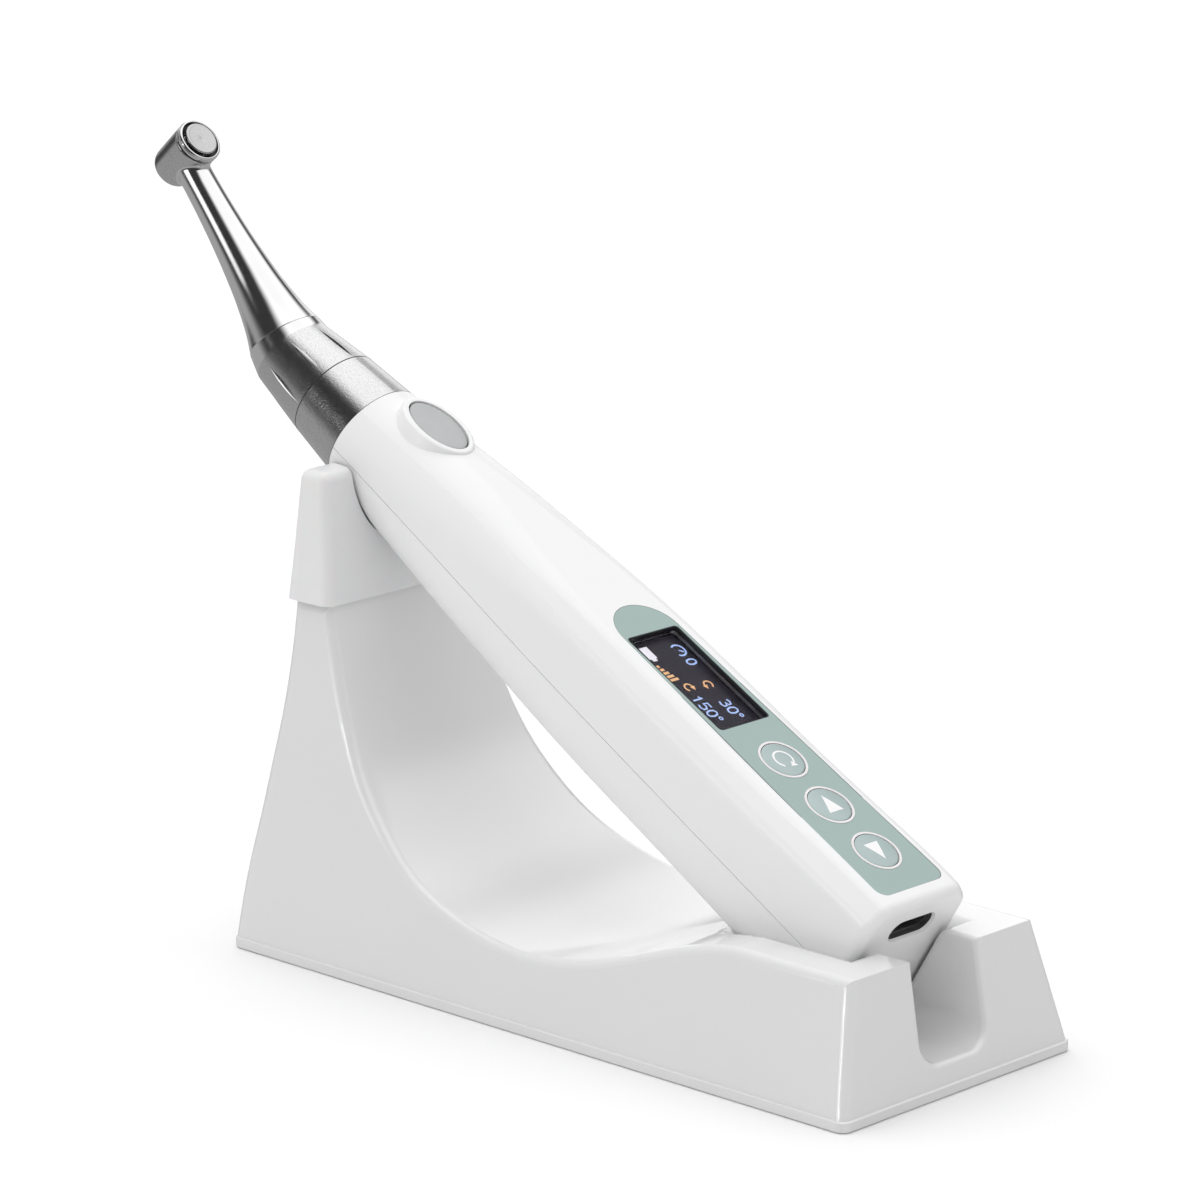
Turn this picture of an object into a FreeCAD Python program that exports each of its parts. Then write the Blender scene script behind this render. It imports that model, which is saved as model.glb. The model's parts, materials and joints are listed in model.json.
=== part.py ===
import FreeCAD, Part
import math
import os

# Endodontic motor on its charging stand, in millimetres.
# Row frame: +Z up, +X towards the stand's cable notch, +Y to the left of the notch.
# Origin: centre of the stand's footprint, on the surface it stands on.
# The handpiece is drawn in its own frame (s, y, n): s along the body towards the tail,
# n towards the control panel, s = 0 at the joint between steel collar and white body.

V = FreeCAD.Vector
os.makedirs("parts", exist_ok=True)

# ---------------------------------------------------------------- driving sizes
STAND_LENGTH = 132.9
STAND_SEAM_Z = 1.9
STAND_TOWER_Z = 58.6
BLOCK_TOP_Z = 22.3
STAND_WALL = 2.4
EDGE_ROUND = 1.7
RIM_ROUND = 3.0
NOTCH_ROUND = 1.0
NOTCH_HALF = 7.8
NOTCH_FLOOR = 5.4
NOTCH_CORNER = 4.0
POST_X = (-61.5, -55.5)
POST_HALF = 11.0
POST_DEPTH = 3.0
POST_RISE = 6.0
PLATE_CORNER = 1.8
PLATE_EDGE = 0.25
SEAM_BEVEL = 0.2
PAD_LENGTH = 100.0
PAD_WIDTH = 30.0
PAD_DEPTH = 0.9

TILT = 30.21
HAND_X = 5.563 - STAND_LENGTH / 2
HAND_Z = 83.178
BODY_LENGTH = 130.5
BODY_WALL = 1.8
END_ROUND = 1.6
PARTING_N = -0.5
SEAM_GAP = 0.12
TOP_TILT = 1.35
TOP_AT_ZERO = 10.84

COLLAR_LENGTH = 10.2
COLLAR_R = 9.33
COLLAR_FRONT_R = 8.45
BEND_S = -21.8
BEND_ANGLE = 19.0
NECK_LENGTH = 39.3
SEAM_X = -3.0

HEAD_R = 4.0
HEAD_TOP = 5.0
HEAD_BOTTOM = -4.8
CHAMBER_R = 3.05
SPINDLE_R = 1.75
CHUCK_BORE_R = 1.19
BUTTON_R = 3.0

NOSE_R = 4.2
SHAFT_R = 1.0
MOTOR_R = 6.0
MOTOR_S = (1.2, 34.0)
MOTOR_WALL = 0.5
MOTOR_BEARING = 2.0

SWITCH_S = 10.7
SWITCH_LENGTH = 12.7
SWITCH_WIDTH = 8.4
KEY_S = (96.5, 107.6, 118.7)
KEY_R = 3.75
RING_R = 4.26
WINDOW = (64.5, 87.5, 5.9)
PANEL_HEAD = (64.3, 6.4)
PANEL_TAIL = (127.5, 7.75)

CELL_R = 7.0
CELL = (46.0, 96.0)
CELL_N = -2.4
PCB_N = (5.35, 6.35)
USB_N = 8.0
SCREW_S = (39.5, 113.15)

BEVEL_TEETH = 10
PINION_TEETH = 8
CROWN_TEETH = 16

# body outline stations: s, half width, top, bottom, top bevel, bevel radius, bottom radius
STATIONS = (
    (0.0, 9.33, 9.33, 9.33, 5.44, 9.2, 9.2),
    (8.0, 9.55, 10.02, 9.98, 5.32, 9.0, 9.0),
    (16.0, 9.8, 10.75, 10.45, 5.15, 8.7, 8.8),
    (25.0, 10.15, 11.43, 10.85, 4.8, 8.1, 8.4),
    (40.0, 10.85, 11.78, 11.25, 3.95, 5.5, 8.1),
    (56.0, 11.45, 12.16, 11.65, 3.3, 2.8, 7.7),
    (80.0, 11.8, 12.73, 11.9, 3.2, 2.5, 7.3),
    (108.0, 12.0, 13.39, 12.0, 3.2, 2.5, 6.9),
    (BODY_LENGTH, 11.95, 13.92, 12.05, 3.15, 2.5, 6.8),
)


# ---------------------------------------------------------------- small helpers
def box(x0, x1, y0, y1, z0, z1):
    return Part.makeBox(x1 - x0, y1 - y0, z1 - z0, V(x0, y0, z0))


def cyl_x(r, x0, x1, y=0.0, z=0.0):
    return Part.makeCylinder(r, x1 - x0, V(x0, y, z), V(1, 0, 0))


def cyl_z(r, z0, z1, x=0.0, y=0.0):
    return Part.makeCylinder(r, z1 - z0, V(x, y, z0), V(0, 0, 1))


def tube_x(ro, ri, x0, x1):
    return cyl_x(ro, x0, x1).cut(cyl_x(ri, x0 - 1, x1 + 1))


def tube_z(ro, ri, z0, z1, x=0.0, y=0.0):
    return cyl_z(ro, z0, z1, x, y).cut(cyl_z(ri, z0 - 1, z1 + 1, x, y))


def turn_x(points):
    """Solid of revolution about the X axis from (x, r) points."""
    pts = [V(x, 0, r) for x, r in points]
    face = Part.Face(Part.makePolygon(pts + [pts[0]]))
    return face.revolve(V(0, 0, 0), V(1, 0, 0), 360)


def turn_z(points, x=0.0):
    """Solid of revolution about a vertical axis at x from (r, z) points."""
    pts = [V(x + r, 0, z) for r, z in points]
    face = Part.Face(Part.makePolygon(pts + [pts[0]]))
    return face.revolve(V(x, 0, 0), V(0, 0, 1), 360)


def spline(points):
    curve = Part.BSplineCurve()
    curve.interpolate(points)
    return curve.toShape()


def line(a, b):
    return Part.makeLine(a, b)


def arc(a, b, c):
    return Part.Arc(a, b, c).toShape()


def rounded_plate(x0, x1, y0, y1, z0, z1, r):
    plate = box(x0, x1, y0, y1, z0, z1)
    uprights = [e for e in plate.Edges if abs(e.tangentAt(e.FirstParameter).z) > 0.9]
    return plate.makeFillet(r, uprights)


def oval(length, width, x, z):
    """Elliptical wire in a level plane, long along X."""
    return Part.Wire(Part.Ellipse(V(x, 0, z), length / 2, width / 2).toShape())


def oval_prism(length, width, x, z0, z1):
    return Part.Face(oval(length, width, x, z0)).extrude(V(0, 0, z1 - z0))


def fuse(first, *others):
    return first.fuse(list(others)).removeSplitter()


def hand_place(shape):
    """From the handpiece frame to the row frame."""
    out = shape.copy()
    spin = FreeCAD.Rotation(V(0, 1, 0), TILT)
    out.Placement = FreeCAD.Placement(V(HAND_X, 0, HAND_Z), spin).multiply(out.Placement)
    return out


def neck_place(shape):
    """From the neck frame (x back along the neck, z along the head) to the handpiece frame."""
    out = shape.copy()
    spin = FreeCAD.Rotation(V(0, 1, 0), BEND_ANGLE)
    out.Placement = FreeCAD.Placement(V(BEND_S, 0, 0), spin).multiply(out.Placement)
    return out


def top_place(shape):
    """From the control surface frame (z = 0 on the surface) to the handpiece frame."""
    out = shape.copy()
    spin = FreeCAD.Rotation(V(0, 1, 0), -TOP_TILT)
    out.Placement = FreeCAD.Placement(V(0, 0, TOP_AT_ZERO), spin).multiply(out.Placement)
    return out


def save(name, shape):
    shape.exportStep("parts/" + name + ".step")


def save_hand(name, shape):
    save(name, hand_place(shape))


def save_neck(name, shape):
    save(name, hand_place(neck_place(shape)))


# ---------------------------------------------------------------- stand
def offset_curve(points, d):
    """Points moved d to the right of the running direction."""
    out = []
    last = len(points) - 1
    for i, (x, z) in enumerate(points):
        ax, az = points[max(i - 1, 0)]
        bx, bz = points[min(i + 1, last)]
        size = math.hypot(bx - ax, bz - az)
        out.append((x + d * (bz - az) / size, z - d * (bx - ax) / size))
    return out


BACK = [(0.0, STAND_SEAM_Z), (0.05, 18.0), (0.8, 26.0), (2.3, 37.0), (3.4, 46.0),
        (4.4, STAND_TOWER_Z)]
VALLEY = [(12.3, STAND_TOWER_Z), (14.0, 52.3), (16.2, 44.9), (19.2, 37.7), (22.9, 31.3),
          (27.9, 25.6), (34.6, 20.0), (42.2, 16.3), (50.8, 13.8), (61.5, 12.4), (72.1, 13.2),
          (82.2, 15.8), (90.0, 18.6), (97.5, 21.0), (105.0, BLOCK_TOP_Z)]
FRONT_TOP_X = 129.0
FLANK = [(27.5, STAND_SEAM_Z), (26.4, 6.0), (25.35, 10.0), (23.75, 16.0), (22.1, BLOCK_TOP_Z),
         (20.7, 30.0), (19.2, 40.0), (18.2, 50.0), (17.6, STAND_TOWER_Z)]


def side_prism(inset, floor_z):
    """Stand seen from the side, full width; inset moves every wall inwards."""
    back = offset_curve(BACK, inset)
    valley = offset_curve(VALLEY, inset)
    top_z = STAND_TOWER_Z - inset
    block_z = BLOCK_TOP_Z - inset
    back[0] = (back[0][0], floor_z)
    back[-1] = (back[-1][0], top_z)
    valley[0] = (valley[0][0], top_z)
    valley[-1] = (valley[-1][0], block_z)
    at = lambda p: V(p[0] - STAND_LENGTH / 2, -40, p[1])
    front_top = (FRONT_TOP_X - inset, block_z)
    front_low = (STAND_LENGTH - 0.3 - inset, floor_z)
    wire = Part.Wire([
        spline([at(p) for p in back]),
        line(at(back[-1]), at(valley[0])),
        spline([at(p) for p in valley]),
        line(at(valley[-1]), at(front_top)),
        line(at(front_top), at(front_low)),
        line(at(front_low), at(back[0])),
    ])
    return Part.Face(wire).extrude(V(0, 80, 0))


def front_prism(inset, floor_z):
    """Stand seen from the front, full length."""
    flank = offset_curve(FLANK, -inset)
    flank[0] = (flank[0][0], floor_z)
    flank[-1] = (flank[-1][0], STAND_TOWER_Z + 1.0)
    left = [V(-90, y, z) for y, z in flank]
    right = [V(-90, -y, z) for y, z in flank]
    wire = Part.Wire([spline(left), line(left[-1], right[-1]), spline(right), line(right[0], left[0])])
    return Part.Face(wire).extrude(V(180, 0, 0))


def tail_pocket(gap):
    """Space for the handpiece's tail, open upwards, in the handpiece frame."""
    half = 12.4 + gap
    low = -12.45 - gap
    r = 7.2 + gap
    s1 = BODY_LENGTH + 0.5 + gap
    bend = r * (1 - math.sqrt(0.5))
    at = lambda y, n: V(80, y, n)
    wire = Part.Wire([
        line(at(half, 60), at(half, low + r)),
        arc(at(half, low + r), at(half - bend, low + bend), at(half - r, low)),
        line(at(half - r, low), at(-half + r, low)),
        arc(at(-half + r, low), at(-half + bend, low + bend), at(-half, low + r)),
        line(at(-half, low + r), at(-half, 60)),
        line(at(-half, 60), at(half, 60)),
    ])
    return Part.Face(wire).extrude(V(s1 - 80, 0, 0))


def cable_notch(gap):
    """Slot through the front wall, with rounded lower corners."""
    slot = box(45, 75, -NOTCH_HALF - gap, NOTCH_HALF + gap, NOTCH_FLOOR - gap, 60)
    low = [e for e in slot.Edges
           if e.BoundBox.ZMax < NOTCH_FLOOR + 0.1 and abs(e.tangentAt(e.FirstParameter).x) > 0.9]
    return slot.makeFillet(NOTCH_CORNER + gap, low)


SCREW_POSTS = [(-52, 21.5), (-52, -21.5), (56, 21.5), (56, -21.5)]


def reach_y(e):
    return max(abs(e.BoundBox.YMax), abs(e.BoundBox.YMin))


def stand_skin():
    """Outside of the stand with its pocket and notch, every edge rounded."""
    skin = side_prism(0, STAND_SEAM_Z).common(front_prism(0, STAND_SEAM_Z))
    flanks = [e for e in skin.Edges
              if reach_y(e) > 17 and e.BoundBox.YMax * e.BoundBox.YMin > 0
              and e.BoundBox.ZMax > STAND_SEAM_Z + 0.5]
    skin = skin.makeFillet(EDGE_ROUND, flanks).cut(hand_place(tail_pocket(0)))
    rim = [e for e in skin.Edges if 10 < reach_y(e) < 14.5 and e.BoundBox.ZMin > 16]
    skin = skin.makeFillet(RIM_ROUND, rim).cut(cable_notch(0))
    lips = [e for e in skin.Edges if e.BoundBox.XMax > 60 and reach_y(e) < 9.5
            and e.BoundBox.XMin > 54 and (e.BoundBox.XMax > 62 or e.BoundBox.ZMin > 21)]
    return skin.makeFillet(NOTCH_ROUND, lips)


def locating_post(gap):
    """Block on the tower's top that the cradle cap fits over."""
    return box(POST_X[0] - gap, POST_X[1] + gap, -POST_HALF - gap, POST_HALF + gap,
               STAND_TOWER_Z - POST_DEPTH, STAND_TOWER_Z + POST_RISE + gap)


def stand_shell():
    outer = stand_skin()
    hollow = side_prism(STAND_WALL, 0).common(front_prism(STAND_WALL, 0))
    hollow = hollow.cut([hand_place(tail_pocket(STAND_WALL)), cable_notch(STAND_WALL)])
    shell = outer.cut(hollow).fuse(locating_post(0))
    for x, y in SCREW_POSTS:
        shell = shell.fuse(cyl_z(2.6, STAND_SEAM_Z, 12, x, y).common(outer))
        shell = shell.cut(cyl_z(0.9, 0, 9, x, y))
    return shell.removeSplitter()


def pad_block(inset):
    x, y = PAD_LENGTH / 2 - inset, PAD_WIDTH / 2 - inset
    return rounded_plate(-x, x, -y, y, 0, PAD_DEPTH, 3.0 - inset)


def base_plate():
    low = 0.1
    half = STAND_LENGTH / 2
    plate = rounded_plate(-half, half, -27.9, 27.9, low, STAND_SEAM_Z, PLATE_CORNER)
    rim = [e for e in plate.Edges if e.BoundBox.ZMax < low + 0.01]
    seam = [e for e in plate.Edges if e.BoundBox.ZMin > STAND_SEAM_Z - 0.01]
    plate = plate.makeFillet(PLATE_EDGE, rim).makeChamfer(SEAM_BEVEL, seam)
    lip = rounded_plate(-half + 3.2, half - 3.6, -24.2, 24.2, STAND_SEAM_Z, 3.2, 2.5)
    lip = lip.cut(rounded_plate(-half + 5, half - 5.4, -22.4, 22.4, 1, 4, 2.0))
    lip = lip.cut(box(40, 70, -10.6, 10.6, STAND_SEAM_Z, 5))
    plate = plate.fuse(lip)
    plate = plate.cut(pad_block(0))
    for x, y in SCREW_POSTS:
        plate = plate.cut([cyl_z(1.3, 0, 3.4, x, y), cyl_z(2.4, 0, 1.4, x, y)])
        plate = plate.cut(cyl_z(2.75, STAND_SEAM_Z, 4, x, y))
    return plate


def base_pad():
    return pad_block(0.2)


def stand_screws():
    out = []
    for x, y in SCREW_POSTS:
        head = cyl_z(2.2, 0.6, 1.4, x, y)
        shank = cyl_z(1.0 - 0.11, 1.4, 8.6, x, y)
        socket = box(x - 1.4, x + 1.4, y - 0.25, y + 0.25, 0.5, 1.0)
        cross = box(x - 0.25, x + 0.25, y - 1.4, y + 1.4, 0.5, 1.0)
        out.append(head.fuse(shank).cut([socket, cross]))
    return Part.makeCompound(out)


def ballast():
    return rounded_plate(-42, 22, -17, 17, STAND_SEAM_Z, 8.4, 2)


CAP_ROUND = 1.9
CAP_FLANK = [(18.6, STAND_TOWER_Z), (18.0, 64.0), (17.4, 70.0), (16.9, 76.0), (16.5, 80.2)]
CAP_SIDE = [(3.2, STAND_TOWER_Z), (4.3, 80.2), (10.4, 80.2), (13.1, STAND_TOWER_Z)]
# clearance outline of the body where it lies in the cradle: s, radius
TROUGH = [(-25.0, 9.3), (0.0, 9.73), (8.0, 10.36), (16.0, 10.85), (25.0, 11.25), (45.0, 12.0)]


def cap_blank():
    """Tapered block over the tower's top, before the cradle is cut."""
    left = [V(-80, y, z) for y, z in CAP_FLANK]
    right = [V(-80, -y, z) for y, z in CAP_FLANK]
    wire = Part.Wire([spline(left), line(left[-1], right[-1]), spline(right), line(right[0], left[0])])
    front = Part.Face(wire).extrude(V(40, 0, 0))
    side = [V(x - STAND_LENGTH / 2, -30, z) for x, z in CAP_SIDE]
    wedge = Part.Face(Part.makePolygon(side + [side[0]])).extrude(V(0, 60, 0))
    blank = front.common(wedge)
    soft = [e for e in blank.Edges if e.BoundBox.ZMax > STAND_TOWER_Z + 1.0]
    return blank.makeFillet(CAP_ROUND, soft)


def cradle_cap():
    below = turn_x([(TROUGH[0][0], 0)] + TROUGH + [(TROUGH[-1][0], 0)])
    plan = [V(s, r, 0) for s, r in TROUGH] + [V(s, -r, 0) for s, r in reversed(TROUGH)]
    above = Part.Face(Part.makePolygon(plan + [plan[0]])).extrude(V(0, 0, 40))
    cap = cap_blank().cut([hand_place(below), hand_place(above)])
    return cap.cut(locating_post(0.1))


# ---------------------------------------------------------------- handpiece body
def outline(station, grow):
    s, w, top, low, bevel, rt, rb = station
    w += grow
    top += grow
    low += grow
    bevel += grow * (2 - math.sqrt(2))
    rt += grow
    rb += grow
    e = rt * math.tan(math.radians(22.5))
    q = e / math.sqrt(2)
    k = rt * math.cos(math.radians(67.5))
    tan_gap = rt * (1 - math.cos(math.radians(22.5)))
    bend = rb * (1 - math.sqrt(0.5))
    at = lambda y, n: V(s, y, n)
    half = []
    p0 = (w - bevel - e, top)
    m0 = (w - bevel - e + k, top - tan_gap)
    p1 = (w - bevel + q, top - q)
    p2 = (w - q, top - bevel + q)
    m1 = (w - tan_gap, top - bevel - e + k)
    p3 = (w, top - bevel - e)
    p4 = (w, rb - low)
    m2 = (w - bend, bend - low)
    p5 = (w - rb, -low)
    for sign in (1, -1):
        half.append([at(sign * y, n) for y, n in (p0, m0, p1, p2, m1, p3, p4, m2, p5)])
    a, b = half
    edges = [arc(a[0], a[1], a[2]), line(a[2], a[3]), arc(a[3], a[4], a[5]), line(a[5], a[6]),
             arc(a[6], a[7], a[8]), line(a[8], b[8]), arc(b[8], b[7], b[6]), line(b[6], b[5]),
             arc(b[5], b[4], b[3]), line(b[3], b[2]), arc(b[2], b[1], b[0]), line(b[0], a[0])]
    return Part.Wire(edges)


def body_solid(grow):
    return Part.makeLoft([outline(st, grow) for st in STATIONS], True, False)


def body_outer():
    solid = body_solid(0)
    tail = [e for e in solid.Edges if e.BoundBox.XMin > BODY_LENGTH - 0.01]
    return solid.makeFillet(END_ROUND, tail)


OUTER = body_outer()
CAVITY = body_solid(-BODY_WALL).common(box(1.4, BODY_LENGTH - BODY_WALL, -20, 20, -20, 20))
WALLS = OUTER.cut(CAVITY)


def panel_face(inset):
    """Outline of the control panel as an upright prism in the control surface frame."""
    x0, y0 = PANEL_HEAD
    x1, y1 = PANEL_TAIL
    y0 -= inset
    y1 -= inset
    x1 -= inset
    c = 2.0
    d = c * (1 - math.sqrt(0.5))
    at = lambda x, y: V(x, y, 0)
    side = y1 - 0.03
    return Part.Face(Part.Wire([
        arc(at(x0, -y0), at(x0 - y0, 0), at(x0, y0)),
        line(at(x0, y0), at(x1 - c, side)),
        arc(at(x1 - c, side), at(x1 - d, side - d), at(x1, side - c)),
        line(at(x1, side - c), at(x1, -side + c)),
        arc(at(x1, -side + c), at(x1 - d, -side + d), at(x1 - c, -side)),
        line(at(x1 - c, -side), at(x0, -y0)),
    ]))


def panel_prism(inset, z0, z1):
    face = panel_face(inset)
    face.translate(V(0, 0, z0))
    return face.extrude(V(0, 0, z1 - z0))


PANEL_DEPTH = 0.4


def window_prism(inset, z0, z1):
    s0, s1, half = WINDOW
    return rounded_plate(s0 + inset, s1 - inset, -half + inset, half - inset, z0, z1, 0.8)


def boss(s, r, n0, n1):
    return cyl_z(r, n0, n1, s, 0)


def usb_slot(width, height, s0, s1):
    r = height / 2
    half = width / 2 - r
    bar = box(s0, s1, -half, half, USB_N - r, USB_N + r)
    return fuse(bar, cyl_x(r, s0, s1, -half, USB_N), cyl_x(r, s0, s1, half, USB_N))


def usb_flare():
    """Tapered mouth of the charging port."""
    rings = []
    for s, wide, high in ((BODY_LENGTH - 1.2, 9.3, 3.5), (BODY_LENGTH + 0.3, 11.0, 4.6)):
        r = high / 2
        h = wide / 2 - r
        at = lambda y, n: V(s, y, USB_N + n)
        rings.append(Part.Wire([
            arc(at(h, -r), at(h + r, 0), at(h, r)), line(at(h, r), at(-h, r)),
            arc(at(-h, r), at(-h - r, 0), at(-h, -r)), line(at(-h, -r), at(h, -r))]))
    return Part.makeLoft(rings, True, True)


def switch_rim():
    """Flat-topped oval boss round the main switch."""
    low = oval(SWITCH_LENGTH + 3.6, SWITCH_WIDTH + 3.6, SWITCH_S, -3.2)
    high = oval(SWITCH_LENGTH + 1.9, SWITCH_WIDTH + 1.9, SWITCH_S, 0.05)
    boss_solid = Part.makeLoft([low, high], True, True)
    top = [e for e in boss_solid.Edges if e.BoundBox.ZMin > 0]
    return top_place(boss_solid.makeFillet(0.45, top)).cut(body_solid(-BODY_WALL))


def upper_shell():
    shell = WALLS.fuse(switch_rim()).common(box(-1, 140, -20, 20, PARTING_N, 20))
    holes = [oval_prism(SWITCH_LENGTH, SWITCH_WIDTH, SWITCH_S, -5, 2)]
    holes += [panel_prism(0, -PANEL_DEPTH, 2), window_prism(0, -4, 2)]
    holes += [cyl_z(KEY_R + 0.1, -4, 2, s) for s in KEY_S]
    shell = shell.cut([top_place(h) for h in holes])
    shell = shell.cut([usb_slot(9.3, 3.5, 127, 132), usb_flare(), cyl_x(7.1, -1, 2)])
    for s in SCREW_S:
        post = boss(s, 1.5, 2.0, 14).common(body_solid(-BODY_WALL / 2))
        shell = shell.fuse(post).cut(boss(s, 0.8, 0, 8))
    return shell.removeSplitter()


def lower_shell():
    shell = WALLS.common(box(-1, 140, -20, 20, -20, PARTING_N)).cut(cyl_x(7.1, -1, 2))
    seam = box(-1, 140, -20, 20, PARTING_N - SEAM_GAP, PARTING_N).cut(body_solid(-0.6))
    shell = shell.cut(seam)
    for s in SCREW_S:
        post = boss(s, 2.4, -14, 1.95).common(body_solid(-BODY_WALL / 2))
        shell = shell.fuse(post).cut([boss(s, 1.1, -14, 3), boss(s, 2.0, -14, -5.6)])
    return shell.removeSplitter()


def shell_screws():
    out = []
    for s in SCREW_S:
        head = boss(s, 1.8, -7, -5.6)
        shank = boss(s, 0.79, -5.6, 6.0)
        slot = box(s - 1.2, s + 1.2, -0.2, 0.2, -7.1, -6.3)
        cross = box(s - 0.2, s + 0.2, -1.2, 1.2, -7.1, -6.3)
        out.append(head.fuse(shank).cut([slot, cross]))
    return Part.makeCompound(out)


# ---------------------------------------------------------------- control panel
def control_overlay():
    sheet = panel_prism(0.08, -PANEL_DEPTH, 0.0)
    gaps = [window_prism(-0.05, -1, 1)] + [cyl_z(RING_R + 0.02, -1, 1, s) for s in KEY_S]
    return top_place(sheet.cut(gaps))


def key_rings():
    rings = [tube_z(RING_R, KEY_R + 0.1, -PANEL_DEPTH, 0.08, s) for s in KEY_S]
    return top_place(Part.makeCompound(rings))


def display_window():
    return top_place(window_prism(0.06, -1.6, -0.85))


def key(s):
    cap = cyl_z(KEY_R, -1.4, 0.18, s)
    cap = cap.makeFillet(0.15, [cap.Edges[0]])
    stem = cyl_z(1.2, -4.6, -1.4, s)
    return top_place(cap.fuse(stem))


def main_switch():
    cap = oval_prism(SWITCH_LENGTH - 0.24, SWITCH_WIDTH - 0.24, SWITCH_S, -2.4, -0.08)
    cap = cap.makeFillet(0.25, [e for e in cap.Edges if e.BoundBox.ZMin > -0.1])
    return fuse(top_place(cap), cyl_z(1.4, 7.95, 9.5, SWITCH_S))


def display_module():
    return top_place(box(62.0, 89.9, -6.65, 6.65, -3.35, -1.85))


def display_frame():
    s0, s1, half = 63.0, 89.0, 6.4
    ring = box(s0, s1, -half, half, PCB_N[1] + 0.02, 8.85)
    ring = ring.cut(box(s0 + 1.2, s1 - 1.2, -half + 1.2, half - 1.2, 5, 10))
    return ring


def main_pcb():
    board = rounded_plate(44.0, 126.6, -8.0, 8.0, PCB_N[0], PCB_N[1], 1.0)
    return board.cut(boss(SCREW_S[1], 2.0, 0, 10))


def tact_switches():
    out = []
    for s in KEY_S:
        can = box(s - 2.2, s + 2.2, -2.2, 2.2, PCB_N[1], 7.5)
        out.append(can.fuse(cyl_z(0.9, 7.5, 7.8, s)))
    out.append(box(SWITCH_S - 2, SWITCH_S + 2, -2, 2, 6.95, 7.5))
    return Part.makeCompound(out)


def switch_flex():
    strip = box(SWITCH_S - 3, 43.0, -4.2, 4.2, 6.6, 6.95)
    return strip.cut(boss(SCREW_S[0], 2.4, 0, 10))


def usb_receptacle():
    shell = usb_slot(8.94, 3.16, 122.1, BODY_LENGTH - 1.1)
    return shell.cut(usb_slot(8.34, 2.56, 123.1, BODY_LENGTH))


def usb_tongue():
    return box(123.1, BODY_LENGTH - 1.9, -3.35, 3.35, USB_N - 0.35, USB_N + 0.35)


# ---------------------------------------------------------------- inside the body
def battery_cell():
    s0, s1 = CELL
    can = Part.makeCylinder(CELL_R, s1 - s0 - 0.8, V(s0, 0, CELL_N), V(1, 0, 0))
    can = can.makeFillet(0.5, can.Edges)
    nub = Part.makeCylinder(2.6, 1.2, V(s1 - 1.2, 0, CELL_N), V(1, 0, 0))
    return can.fuse(nub)


def inner_chassis():
    tray = box(43.0, 121.0, -8.6, 8.6, -1.0, PCB_N[0] - 0.05)
    tray = tray.cut(cyl_x(CELL_R + 0.15, CELL[0] - 0.5, CELL[1] + 1.0, 0, CELL_N))
    tray = tray.cut(box(CELL[1] + 2.6, 119.4, -7.0, 7.0, -3, 3.4))
    return tray.cut(boss(SCREW_S[1], 2.9, -4, 8))


def buzzer():
    return cyl_z(3.6, 0.1, 3.35, 103.6)


def motor_can():
    front, rear = MOTOR_S
    can = tube_x(MOTOR_R, MOTOR_R - MOTOR_WALL, front, rear)
    ends = [tube_x(MOTOR_R, 2.5, a, a + MOTOR_BEARING) for a in (front, rear - MOTOR_BEARING)]
    return fuse(can, *ends)


def motor_bearings():
    front, rear = MOTOR_S
    seats = (front, rear - MOTOR_BEARING)
    return Part.makeCompound([tube_x(2.5, SHAFT_R + 0.02, a, a + MOTOR_BEARING) for a in seats])


def motor_stator():
    core = tube_x(MOTOR_R - MOTOR_WALL, 3.6, 7.0, 28.0)
    ends = [tube_x(5.2, 3.9, 5.2, 7.0), tube_x(5.2, 3.9, 28.0, 29.8)]
    return fuse(core, *ends)


def motor_shaft():
    shaft = cyl_x(SHAFT_R, -13.4, 33.6)
    tongue = box(-16.2, -13.2, -0.95, 0.95, -0.4, 0.4)
    return fuse(shaft, tongue)


def rotor_magnet():
    return tube_x(3.3, SHAFT_R, 7.5, 27.5)


def motor_nose():
    nose = turn_x([(1.2, SHAFT_R + 0.5), (1.2, 7.0), (-1.2, 7.0), (-1.2, NOSE_R), (-17.7, NOSE_R),
                   (-18.2, NOSE_R - 0.5), (-18.2, 2.2), (-2.0, 2.2), (-2.0, SHAFT_R + 0.5)])
    grooves = [tube_x(6, 3.5, a - 0.45, a + 0.45) for a in (-12.4, -15.4)]
    return nose.cut(grooves)


def nose_orings():
    rings = [Part.makeTorus(3.88, 0.38, V(a, 0, 0), V(1, 0, 0)) for a in (-12.4, -15.4)]
    return Part.makeCompound(rings)


def front_collar():
    ring = turn_x([(0, NOSE_R + 2.9), (0, COLLAR_R), (-COLLAR_LENGTH, COLLAR_FRONT_R),
                   (-COLLAR_LENGTH, NOSE_R + 0.02), (-8.6, NOSE_R + 0.02), (-8.6, 6.6),
                   (-1.3, 6.6), (-1.3, NOSE_R + 2.9)])
    pin = cyl_x(0.6, -11.6, -9.4, 0, -6.0)
    return ring.fuse(pin)


# ---------------------------------------------------------------- contra-angle
BEND_R = 7.0
GROOVES = 8
GROOVE_S = -16.8
GROOVE_FLOOR_R = 7.08
GROOVE_CUTTER_R = 14.0


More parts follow.
